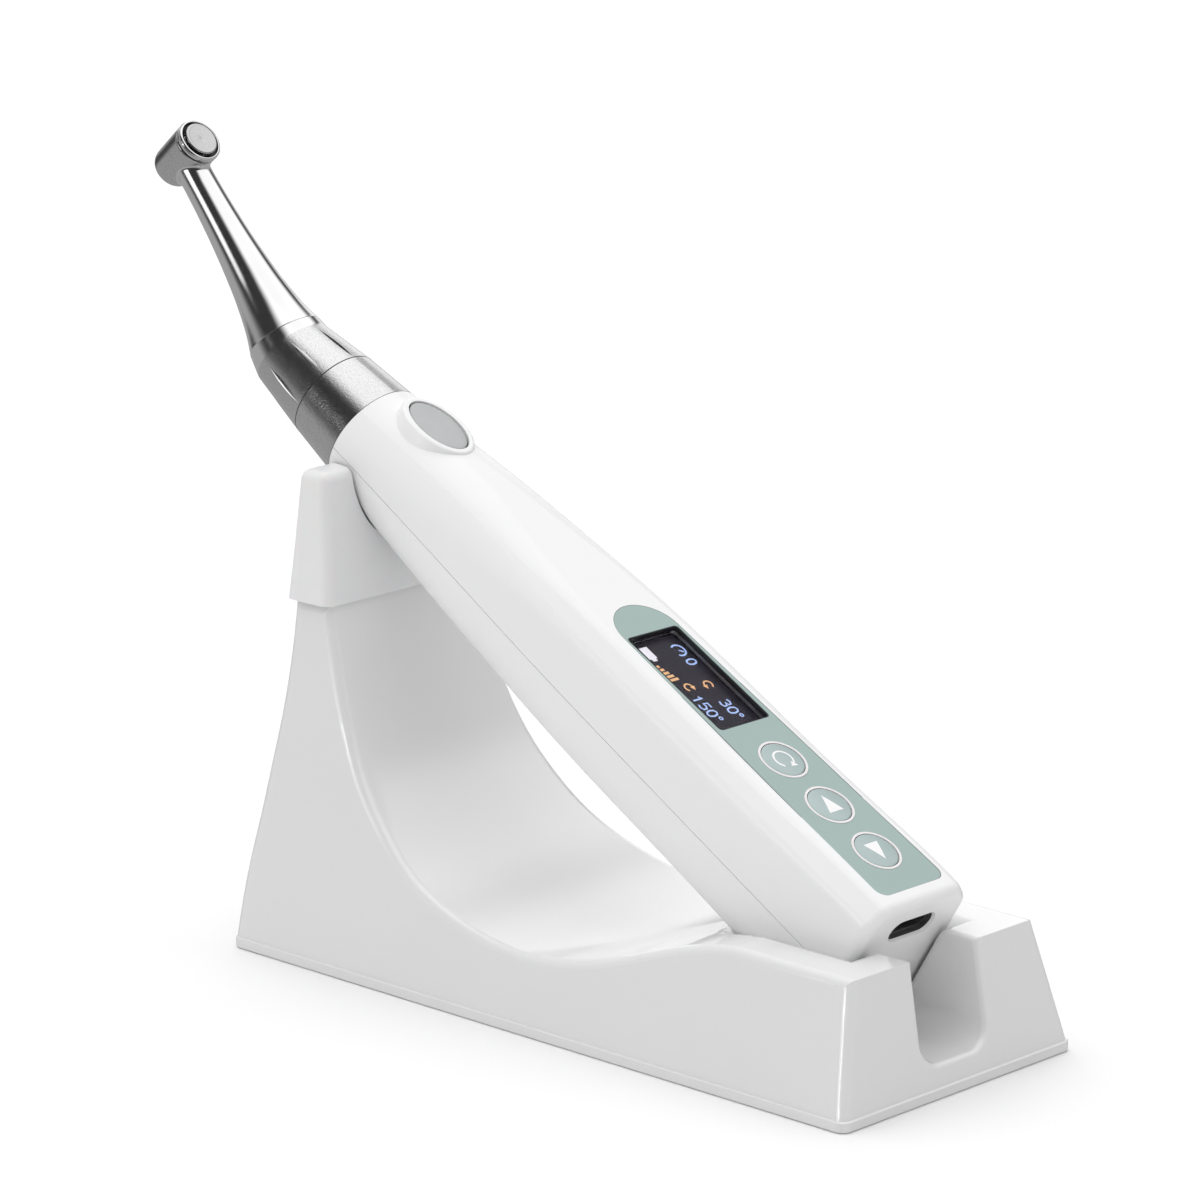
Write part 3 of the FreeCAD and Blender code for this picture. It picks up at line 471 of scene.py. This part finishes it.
def sleeve_outline(angle):
    """Outer line of the bent grip at one angle round it, from the collar to the neck's seam."""
    c, s = math.cos(angle), math.sin(angle)
    mitre = math.tan(0.5 * HAND.x.angle(NECK.x))
    chamfer = 0.12 * MM
    knee = HAND.at(BEND_S + mitre * BEND_R * c, BEND_R * s, BEND_R * c)
    rear = HAND.at(COLLAR_SEAM, REAR_R * s, REAR_R * c)
    front = NECK.at(SEAM_X, SEAM_R * s, SEAM_R * c)
    line = [HAND.at(COLLAR_SEAM, (REAR_R - chamfer) * s, (REAR_R - chamfer) * c)]
    line += [between(rear, knee, t) for t in REAR_STEPS]
    soft = 0.35 * MM
    a, b = knee + (rear - knee).normalized() * soft, knee + (front - knee).normalized() * soft
    for i in range(KNEE_STEPS):
        t = i / (KNEE_STEPS - 1)
        line.append(a * (1 - t) ** 2 + knee * 2 * t * (1 - t) + b * t ** 2)
    line += [between(knee, front, t) for t in (0.3, 0.6, 0.85, 0.96)]
    line.append(NECK.at(SEAM_X, (SEAM_R - chamfer) * s, (SEAM_R - chamfer) * c))
    return line


def sleeve_bore(angle):
    """Inner line of the grip, running back from the neck's seam to the collar."""
    c, s = math.cos(angle), math.sin(angle)
    bore, throat = 4.3 * MM, 4.1 * MM
    places = [NECK.at(SEAM_X, throat * s, throat * c), NECK.at(-1 * MM, throat * s, throat * c)]
    return places + [HAND.at(x * MM, bore * s, bore * c) for x in (-19.0, -15.0, -11.0, -10.3)]


def groove_cutter(index):
    """Double cone whose sharp rim cuts one lens-shaped groove."""
    slope = math.atan((REAR_R - BEND_R) / (COLLAR_SEAM - BEND_S))
    turn = Matrix.Rotation(2 * math.pi * index / GROOVES, 3, "X")
    tilt = Matrix.Rotation(-slope, 3, "Y")
    centre = Vector((GROOVE_S, 0, GROOVE_FLOOR_R + GROOVE_CUTTER_R))
    rings = []
    parts = 160
    tip_r = 1e-6
    steep = 0.6 * GROOVE_CUTTER_R
    for reach, height in ((tip_r, -steep), (GROOVE_CUTTER_R, 0.0), (tip_r, steep)):
        ring = []
        for k in range(parts):
            a = 2 * math.pi * k / parts
            local = Vector((reach * math.cos(a), height, reach * math.sin(a)))
            p = turn @ (tilt @ local + centre)
            ring.append(HAND.at(*p))
        rings.append(ring)
    bm = bmesh.new()
    grid = [[bm.verts.new(p) for p in ring] for ring in rings]
    for a, b in zip(grid, grid[1:]):
        for k in range(parts):
            m = (k + 1) % parts
            bm.faces.new((a[k], a[m], b[m], b[k]))
    bm.faces.new(grid[0])
    bm.faces.new(list(reversed(grid[-1])))
    for face in bm.faces:
        face.material_index = 1
    return finish_mesh(bm, "groove_cutter")


def carve(obj, cutters):
    """Cuts meshes out of an object and keeps the cut faces' own material."""
    tools = []
    for mesh in cutters:
        tool = bpy.data.objects.new("cutter", mesh)
        scene.collection.objects.link(tool)
        tools.append(tool)
        for material in obj.data.materials:
            mesh.materials.append(material)
        step = obj.modifiers.new("cut", "BOOLEAN")
        step.operation = "DIFFERENCE"
        step.solver = "EXACT"
        step.material_mode = "INDEX"
        step.object = tool
    bpy.context.view_layer.update()
    shown = obj.evaluated_get(bpy.context.evaluated_depsgraph_get())
    result = bpy.data.meshes.new_from_object(shown)
    obj.modifiers.clear()
    for tool in tools:
        bpy.data.objects.remove(tool)
    bm = bmesh.new()
    bm.from_mesh(result)
    old = obj.data
    obj.data = finish_mesh(bm, old.name, 20.0)
    for material in result.materials:
        obj.data.materials.append(material)


def make_sleeve(f):
    """Satin grip with a polished wedge beyond its knee and lens-shaped grooves round its rear."""
    parts = 192
    lines = [sleeve_outline(2 * math.pi * k / parts) + sleeve_bore(2 * math.pi * k / parts)
             for k in range(parts)]
    rings = [[line[i] for line in lines] for i in range(len(lines[0]))]
    knee = 1 + len(REAR_STEPS) + KNEE_STEPS // 2
    wedge_end = len(sleeve_outline(0.0)) - 1
    mesh = rings_to_mesh(rings, True, "grip_sleeve_skin",
                         lambda i, k: int(knee <= i < wedge_end), 24.0)
    obj = piece("grip_sleeve_skin", mesh, "contra_angle",
                (f["satin_steel"], f["polished_steel"]), ("grip_sleeve",))
    carve(obj, [groove_cutter(i) for i in range(GROOVES)])


# Neck radius along its length, both in millimetres.
NECK_LINE = [(-3.0, 6.5), (-5.5, 5.75), (-8.3, 5.1), (-12.8, 4.34), (-16.9, 3.86), (-21.1, 3.47),
             (-25.4, 3.18), (-29.6, 2.98), (-33.0, 2.88)]
NECK_END_R = 2.85 * MM
HEAD_LOW_R = 3.72 * MM
HEAD_HIGH_R = 4.0 * MM
HEAD_LOW_Z = -3.4 * MM
HEAD_HIGH_Z = 3.7 * MM
FILLET = 0.75 * MM
FILLET_STEPS = 10


def head_radius(z):
    t = min(max((z - HEAD_LOW_Z) / (HEAD_HIGH_Z - HEAD_LOW_Z), 0.0), 1.0)
    return between(HEAD_LOW_R, HEAD_HIGH_R, t)


def neck_line(angle):
    """Outer line of the neck at one angle, ending in a fillet that lies down on the head."""
    c, s = math.cos(angle), math.sin(angle)
    chamfer = 0.1 * MM
    root_r = NECK_LINE[0][1] * MM - chamfer
    line = [NECK.at(SEAM_X, root_r * s, root_r * c)]
    points = smooth_points(NECK_LINE)
    points[0] = Vector((-3.1, 6.48))
    for x, r in points:
        line.append(NECK.at(x * MM, r * MM * s, r * MM * c))
    centre_r = NECK_END_R + FILLET
    side, up = centre_r * s, centre_r * c
    reach = head_radius(up) + FILLET
    centre_x = HEAD_X + math.sqrt(reach * reach - side * side)
    centre = Vector((centre_x, side, up))
    start = Vector((0.0, -s, -c))
    to_head = Vector((HEAD_X - centre_x, -side, 0.0)).normalized()
    turn = start.angle(to_head)
    for i in range(FILLET_STEPS + 1):
        t = i / FILLET_STEPS
        direction = (start * math.sin((1 - t) * turn) + to_head * math.sin(t * turn)) / math.sin(turn)
        line.append(NECK.at(*(centre + direction * FILLET)))
    sunk = centre + to_head * (FILLET + 0.4 * MM)
    line.append(NECK.at(*sunk))
    return line


def make_neck(f):
    """Polished neck, hollow for its drive shaft."""
    parts = 128
    lines = [neck_line(2 * math.pi * k / parts) for k in range(parts)]
    bore = 2.6 * MM
    for k, line in enumerate(lines):
        c, s = math.cos(2 * math.pi * k / parts), math.sin(2 * math.pi * k / parts)
        line.append(NECK.at(HEAD_X + 3.35 * MM, 1.9 * MM * s, 1.9 * MM * c))
        line.append(NECK.at(-6.0 * MM, bore * s, bore * c))
        line.append(NECK.at(SEAM_X, bore * s, bore * c))
    rings = [[line[i] for line in lines] for i in range(len(lines[0]))]
    mesh = rings_to_mesh(rings, True, "neck_skin", crease=40.0)
    piece("neck_skin", mesh, "contra_angle", (f["polished_steel"],),
          ("neck_housing",))


def make_head(f):
    """Satin barrel of the head, hollow, open below for the chuck; its groove under the cap and its bore are black
    as painted shade.
    """
    low = -4.8 * MM
    outer = [(2.05 * MM, low + 0.15 * MM), (2.2 * MM, low)]
    foot = [(2.66, -4.8), (3.05, -4.63), (3.38, -4.28), (3.6, -3.8), (HEAD_LOW_R / MM, -3.2)]
    outer += [(p.x * MM, p.y * MM) for p in smooth_points(foot, 3)]
    outer += [(HEAD_HIGH_R - 0.02 * MM, 3.2 * MM), (HEAD_HIGH_R, 3.55 * MM),
              (HEAD_HIGH_R - 0.05 * MM, 3.68 * MM), (HEAD_HIGH_R - 0.28 * MM, 3.72 * MM),
              (HEAD_HIGH_R - 0.3 * MM, 3.9 * MM)]
    inner = [(3.05 * MM, 3.9 * MM), (3.05 * MM, -4.1 * MM), (2.05 * MM, -4.2 * MM)]
    # Faces from the groove under the cap on, down the bore, take black: painted shade.
    groove = len(outer) - 2
    mesh = lathe(HEAD, True, outer + inner, "head_skin", 144, 28.0,
                 lambda i, k: int(i >= groove))
    piece("head_skin", mesh, "contra_angle", (f["head_steel"], f["black_plastic"]))


def make_head_cap(f):
    """Polished screw cap with a stepped rim around the push button; the recess round the button and the cap's
    underside are black as painted shade.
    """
    outline = [(3.4, 3.92), (3.66, 3.92), (3.66, 4.02), (3.94, 4.04), (3.98, 4.12), (4.0, 4.42),
               (3.98, 4.5), (3.88, 4.52), (3.88, 4.58), (3.98, 4.64), (3.96, 4.78), (3.78, 4.98),
               (3.6, 5.02), (3.5, 4.95), (3.45, 4.8), (3.44, 4.22), (2.72, 4.2), (2.72, 3.92)]
    profile = rounded_profile([(r * MM, z * MM) for r, z in outline], 0.05 * MM, 3)

    # Faces in the recess round the button and under the cap take black: painted shade.
    def painted_shade_faces(i, k):
        radius, height = profile[i]
        return int((radius < 3.47 * MM and height < 4.75 * MM) or height < 4.0 * MM)

    mesh = lathe(HEAD, True, profile, "head_cap_skin", 144, 30.0, painted_shade_faces)
    piece("head_cap_skin", mesh, "contra_angle",
          (f["polished_steel"], f["black_plastic"]), ("head_cap",))


def make_button(f):
    """Satin push button with a fine bevel and a barely dished top."""
    outline = [(0.0, 4.1), (0.9, 4.1), (0.9, 4.87), (2.96, 4.87), (3.0, 4.93), (3.0, 5.26),
               (2.93, 5.38), (2.8, 5.44), (2.62, 5.445), (2.3, 5.42), (1.2, 5.4), (0.0, 5.395)]
    on_axis = 0.002
    profile = [(max(r, on_axis) * MM, z * MM) for r, z in outline]
    mesh = lathe(HEAD, True, rounded_profile(profile, 0.04 * MM, 3), "button_skin", 128, 26.0)
    piece("button_skin", mesh, "push_button", (f["button_steel"],), ("push_button",))


def make_seam_shade_rings(f):
    """Thin dark rings in the joints of the grip, sleeve to collar and collar to body: painted shade for the shadow
    in these seam gaps.
    """
    # Each ring is a dark band laid in a seam gap as painted shade.
    for name, body, s0, s1, radius in (("sleeve_seam_shade", "contra_angle", -10.37, -10.21, 8.445),
                                       ("body_seam_shade", "handpiece", -0.1, 0.0, 9.34)):
        profile = [((radius - 0.3) * MM, s0 * MM), (radius * MM, s0 * MM),
                   ((radius + 0.008) * MM, (s0 + s1) / 2 * MM), (radius * MM, s1 * MM),
                   ((radius - 0.3) * MM, s1 * MM)]
        mesh = lathe(HAND, False, profile, name, 144)
        piece(name, mesh, body, (f["oring_black"],))


# ---------------------------------------------------------------- control panel
KEYS = {"key_set": 96.5 * MM, "key_up": 107.6 * MM, "key_down": 118.7 * MM}
KEY_R = 3.72 * MM
KEY_CROWN = 0.16 * MM
KEY_EDGE = 0.05 * MM


def key_height(radius):
    return KEY_EDGE + KEY_CROWN * (1 - (radius / KEY_R) ** 2)


def make_key(name, s, f):
    """Domed key cap on its stem."""
    crown = [(KEY_R * t, key_height(KEY_R * t)) for t in (0.001, 0.2, 0.4, 0.6, 0.8, 0.92, 0.975)]
    rest = [(KEY_R, 0.0), (KEY_R, -1.35 * MM), (1.2 * MM, -1.4 * MM), (1.2 * MM, -4.6 * MM),
            (0.002 * MM, -4.6 * MM)]
    local = Axes(TOP.at(s, 0, 0), TOP.x, TOP.z)
    mesh = lathe(local, True, crown + rest, name + "_cap", 96, 40.0)
    piece(name + "_cap", mesh, name, (f["key_grey"],), (name,))


def outline_piece(name, outlines, height_at, thickness, body, finish):
    """Raised flat shapes on the control surface; outlines are lists of (s, y) points."""
    bm = bmesh.new()
    for outline in outlines:
        low = [bm.verts.new(TOP.at(x, y, height_at(x, y))) for x, y in outline]
        high = [bm.verts.new(TOP.at(x, y, height_at(x, y) + thickness)) for x, y in outline]
        count = len(outline)
        bottom, top = bm.faces.new(low), bm.faces.new(high)
        for k in range(count):
            m = (k + 1) % count
            bm.faces.new((low[k], low[m], high[m], high[k]))
        bmesh.ops.triangulate(bm, faces=[bottom, top])
    piece(name, finish_mesh(bm, name), body, (finish,))


def bar(x0, x1, y0, y1):
    """Rectangle outline."""
    return [(x0, y0), (x1, y0), (x1, y1), (x0, y1)]


def stroke(points, width):
    """Outline of a line of even width through (x, y) points."""
    left, right = [], []
    last = len(points) - 1
    for i, p in enumerate(points):
        a, b = Vector(points[max(i - 1, 0)]), Vector(points[min(i + 1, last)])
        along = (b - a).normalized()
        off = Vector((-along.y, along.x)) * width / 2
        left.append(tuple(Vector(p) + off))
        right.append(tuple(Vector(p) - off))
    return left + right[::-1]


def arc_points(cx, cy, r, start, end, steps):
    """Points of an arc from one angle to another, in degrees."""
    out = []
    for i in range(steps + 1):
        a = math.radians(start + (end - start) * i / steps)
        out.append((cx + r * math.cos(a), cy + r * math.sin(a)))
    return out


def make_key_icons(f):
    """A cycle mark on the first key and two triangles on the others."""
    thickness = 0.044 * MM
    sunk = 0.02 * MM

    def on_key(s):
        return lambda x, y: key_height(math.hypot(x - s, y)) - sunk

    s = KEYS["key_set"]
    r = 1.75 * MM
    ring = stroke(arc_points(s, 0, r, 35, 325, 30), 0.36 * MM)
    tip = arc_points(s, 0, r, 35, 35, 1)[0]
    head = [(tip[0] - 0.62 * MM, tip[1] - 0.1 * MM), (tip[0] + 0.55 * MM, tip[1] + 0.62 * MM),
            (tip[0] + 0.4 * MM, tip[1] - 0.75 * MM)]
    outline_piece("icon_cycle", [ring, head], on_key(s), thickness, "key_set",
                  f["icon_white"])
    for name, sign in (("key_up", -1), ("key_down", 1)):
        s = KEYS[name]
        corners = [(s + sign * 2.15 * MM, 0.0), (s - sign * 1.65 * MM, 1.6 * MM),
                   (s - sign * 1.65 * MM, -1.6 * MM)]
        fine = []
        steps = 6
        for i, corner in enumerate(corners):
            a, b = Vector(corner), Vector(corners[(i + 1) % 3])
            fine += [tuple(between(a, b, t / steps)) for t in range(steps)]
        outline_piece("icon_" + name, [fine], on_key(s), thickness, name,
                      f["icon_white"])


SWITCH_S = 10.7 * MM
SWITCH_HALF = (6.35 * MM, 4.2 * MM)


def switch_ring(inset, z):
    """Oval round the switch, inset from its opening; both in millimetres."""
    steps = 96
    a, b = SWITCH_HALF[0] - inset * MM, SWITCH_HALF[1] - inset * MM
    turns = [2 * math.pi * k / steps for k in range(steps)]
    return [TOP.at(SWITCH_S + a * math.cos(t), b * math.sin(t), z * MM) for t in turns]


def make_switch(f):
    """Grey switch cap with a rolled edge, and a black ring deep in the gap round it as painted shade for that gap.
    """
    rings = [switch_ring(3.9, -0.03), switch_ring(2.4, -0.04), switch_ring(1.0, -0.06),
             switch_ring(0.5, -0.09), switch_ring(0.34, -0.15), switch_ring(0.27, -0.26),
             switch_ring(0.26, -0.5), switch_ring(0.26, -2.4), switch_ring(3.9, -2.4)]
    mesh = rings_to_mesh(rings, False, "switch_cap", crease=50.0)
    bm = bmesh.new()
    bm.from_mesh(mesh)
    bmesh.ops.holes_fill(bm, edges=[e for e in bm.edges if e.is_boundary])
    piece("switch_cap", finish_mesh(bm, "switch_cap", 50.0), "main_switch",
          (f["switch_grey"],), ("main_switch",))
    # Black ring at the bottom of the gap round the cap: painted shade.
    gap = [switch_ring(0.22, -0.62), switch_ring(0.03, -0.62), switch_ring(0.03, -0.8),
           switch_ring(0.22, -0.8)]
    mesh = rings_to_mesh(gap, True, "switch_gap_shade")
    piece("switch_gap_shade", mesh, "handpiece", (f["black_plastic"],))


SCREEN_HEAD = 65.1 * MM
SCREEN_HALF = 5.4 * MM
SCREEN_TOP = -1.85 * MM
SCREEN_SHIFT = (-0.2, 1.0)


def make_bezel(f):
    """Black liner round the wall of the window's opening."""
    s0, s1, half, corner = 64.53 * MM, 87.47 * MM, 5.87 * MM, 0.78 * MM

    def ring(inset, z):
        points = []
        r = max(corner - inset, 0.15 * MM)
        head, tail, reach = s0 + inset + r, s1 - inset - r, half - inset - r
        for cx, cy, start in ((tail, reach, 0), (head, reach, 90), (head, -reach, 180),
                              (tail, -reach, 270)):
            points += [TOP.at(x, y, z) for x, y in arc_points(cx, cy, r, start, start + 90, 6)]
        return points

    wall = 0.2 * MM
    top, foot = -0.06 * MM, -0.84 * MM
    rings = [ring(0, top), ring(0.06 * MM, top + 0.03 * MM), ring(wall * 0.6, top + 0.03 * MM),
             ring(wall, top - 0.12 * MM), ring(wall, foot), ring(0, foot)]
    mesh = rings_to_mesh(rings, True, "display_bezel", crease=35.0)
    piece("display_bezel", mesh, "handpiece", (f["black_plastic"],))


# Strokes of each digit in a box one wide and one high.
DIGITS = {
    "0": [[(0.5, 0), (0.85, 0.12), (1, 0.5), (0.85, 0.88), (0.5, 1), (0.15, 0.88), (0, 0.5),
           (0.15, 0.12), (0.5, 0)]],
    "1": [[(0.15, 0.72), (0.55, 1), (0.55, 0)]],
    "3": [[(0.02, 0.88), (0.4, 1), (0.85, 0.9), (0.88, 0.65), (0.4, 0.54), (0.9, 0.42), (0.95, 0.15),
           (0.5, 0), (0.02, 0.1)]],
    "5": [[(0.92, 1), (0.15, 1), (0.08, 0.56), (0.5, 0.62), (0.93, 0.48), (0.93, 0.16), (0.5, 0),
           (0.05, 0.1)]],
}


def on_screen(u, v):
    """Screen place from millimetres: u from the head end, v from the near edge."""
    return SCREEN_HEAD + (u + SCREEN_SHIFT[0]) * MM, -SCREEN_HALF + (v + SCREEN_SHIFT[1]) * MM


def number(text, u, v, width, height, line):
    """Outlines of digits; the last character may be a degree ring."""
    shapes = []
    for character in text:
        if character == "o":
            cx, cy = on_screen(u + 0.35, v + height - 0.35)
            shapes.append(stroke(arc_points(cx, cy, 0.32 * MM, 0, 352, 14), line * 0.7 * MM))
            continue
        for path in DIGITS[character]:
            points = [on_screen(u + x * width, v + y * height) for x, y in path]
            shapes.append(stroke(points, line * MM))
        u += width + 0.42
    return shapes


def make_display(f):
    """Generic picture on the screen: battery, mode gauge, level bars, turn arrows and angles."""
    white = lit("pixel_white", (0.86, 0.84, 0.92), 1.0)
    blue = lit("pixel_blue", (0.42, 0.58, 1.0), 1.0)
    amber = lit("pixel_amber", (1.0, 0.55, 0.24), 0.85)
    thick = 0.02 * MM

    def flat(x, y):
        return SCREEN_TOP

    def screen_bar(u0, u1, v0, v1):
        (x0, y0), (x1, y1) = on_screen(u0, v0), on_screen(u1, v1)
        return bar(x0, x1, y0, y1)

    battery = [screen_bar(0.9, 3.7, 1.0, 2.75), screen_bar(3.7, 4.25, 1.4, 2.35)]
    outline_piece("screen_battery", battery, flat, thick, "handpiece", white)

    gauge_x, gauge_y = on_screen(3.4, 8.1)
    gauge = [stroke(arc_points(gauge_x, gauge_y, 1.25 * MM, -40, 220, 20), 0.34 * MM),
             stroke([(gauge_x, gauge_y), (gauge_x + 0.55 * MM, gauge_y + 0.75 * MM)], 0.3 * MM)]
    gauge += number("0", 5.7, 7.3, 1.25, 2.0, 0.34)
    outline_piece("screen_mode", gauge, flat, thick, "handpiece", blue)

    levels = [screen_bar(5.2 + 0.85 * i, 5.75 + 0.85 * i, 0.95, 1.45 + 0.32 * i) for i in range(5)]
    arrows = []
    for v, sign in ((7.1, 1), (3.0, -1)):
        cx, cy = on_screen(11.7 if sign > 0 else 11.2, v)
        arrows.append(stroke(arc_points(cx, cy, 0.8 * MM, 30 * sign, 290 * sign, 18), 0.3 * MM))
        ex, ey = arc_points(cx, cy, 0.8 * MM, 290 * sign, 290 * sign, 1)[0]
        arrows.append([(ex - 0.3 * MM, ey - 0.5 * MM), (ex + 0.6 * MM, ey),
                       (ex - 0.3 * MM, ey + 0.5 * MM)])
    outline_piece("screen_turns", levels + arrows, flat, thick, "handpiece", amber)

    angles = number("30o", 15.6, 5.7, 1.35, 2.1, 0.33) + number("150o", 13.3, 1.3, 1.35, 2.1, 0.33)
    outline_piece("screen_angles", angles, flat, thick, "handpiece", blue)


PORT_N = 8.0 * MM
BODY_LENGTH = 130.5 * MM
CONTACTS = 12
CONTACT_PITCH = 0.5 * MM
BOX_FACES = ((0, 1, 2, 3), (4, 5, 6, 7), (0, 1, 5, 4), (1, 2, 6, 5), (2, 3, 7, 6), (3, 0, 4, 7))


def make_contacts(f):
    """Gold contacts on both faces of the charging port's tongue."""
    bm = bmesh.new()
    x0, x1 = BODY_LENGTH - 6.2 * MM, BODY_LENGTH - 2.4 * MM
    for side in (1, -1):
        face = PORT_N + side * 0.35 * MM
        for i in range(CONTACTS):
            y = (i - (CONTACTS - 1) / 2) * CONTACT_PITCH
            y0, y1 = y - 0.13 * MM, y + 0.13 * MM
            low, high = face - side * 0.02 * MM, face + side * 0.03 * MM
            corners = [HAND.at(x, yy, z) for z in (low, high)
                       for x, yy in ((x0, y0), (x1, y0), (x1 + 0.05 * MM, y1), (x0, y1))]
            v = [bm.verts.new(c) for c in corners]
            for quad in BOX_FACES:
                bm.faces.new([v[q] for q in quad])
    piece("port_contacts", finish_mesh(bm, "port_contacts"), "handpiece",
          (f["gold_contact"],))


def slot_ring(s, width, height):
    """Rounded slot outline across the tail, round the charging port."""
    r = height / 2
    half = width / 2 - r
    points = arc_points(half, 0, r, -90, 90, 12) + arc_points(-half, 0, r, 90, 270, 12)
    return [HAND.at(s, y, PORT_N + n) for y, n in points]


def make_port_liner(f):
    """Black liner of the charging port, seated in its tapered white mouth."""
    rings = [slot_ring(BODY_LENGTH - 0.45 * MM, 10.05 * MM, 3.95 * MM),
             slot_ring(BODY_LENGTH - 0.42 * MM, 9.9 * MM, 3.82 * MM),
             slot_ring(BODY_LENGTH - 0.5 * MM, 9.6 * MM, 3.6 * MM),
             slot_ring(BODY_LENGTH - 1.05 * MM, 8.9 * MM, 3.1 * MM),
             slot_ring(BODY_LENGTH - 1.08 * MM, 9.2 * MM, 3.4 * MM)]
    mesh = rings_to_mesh(rings, True, "port_liner")
    piece("port_liner", mesh, "handpiece", (f["black_plastic"],))


PANEL_HEAD = (64.3 * MM, 6.4 * MM)
PANEL_TAIL = (127.5 * MM, 7.75 * MM)
PANEL_CORNER = 2.0 * MM


def panel_outline(grow):
    """Edge of the control panel: half round at the head end, small corners at the tail."""
    x0, y0 = PANEL_HEAD[0], PANEL_HEAD[1] + grow
    x1, y1 = PANEL_TAIL[0] + grow, PANEL_TAIL[1] + grow
    c = PANEL_CORNER
    return (arc_points(x0, 0, y0, 90, 270, 36) + arc_points(x1 - c, c - y1, c, 270, 360, 8)
            + arc_points(x1 - c, y1 - c, c, 0, 90, 8))


def make_panel_gap_shade(f):
    """Dark line laid in the gap round the control panel: painted shade for the gap."""
    rings = []
    # Dark band sitting in the panel gap: painted shade.
    for grow, z in ((-0.10, -0.02), (-0.09, 0.008), (0.05, 0.008), (0.06, -0.02)):
        rings.append([TOP.at(x, y, z * MM) for x, y in panel_outline(grow * MM)])
    mesh = rings_to_mesh(rings, True, "panel_gap_shade")
    piece("panel_gap_shade", mesh, "handpiece", (f["edge_grey"],))


# ---------------------------------------------------------------- put it together
def dress_nodes(f):
    """Gives every CAD node the finish of its material slot."""
    for part in frame["record"]["subparts"]:
        obj = NODES[part["node"]]
        obj.data.materials.clear()
        obj.data.materials.append(f[part["material_slot"]].material)


make_camera()
make_world()
area("soft_top", (-0.25, 0.1, 0.95), (0, 0, 0.04), (0.7, 0.7), 0.6)
make_floor()
scene.view_settings.view_transform = "Standard"

finishes = make_finishes()
dress_nodes(finishes)
make_sleeve(finishes)
make_neck(finishes)
make_head(finishes)
make_head_cap(finishes)
make_button(finishes)
make_seam_shade_rings(finishes)
for key_name, key_s in KEYS.items():
    make_key(key_name, key_s, finishes)
make_key_icons(finishes)
make_switch(finishes)
make_bezel(finishes)
make_display(finishes)
make_contacts(finishes)
make_port_liner(finishes)
make_panel_gap_shade(finishes)
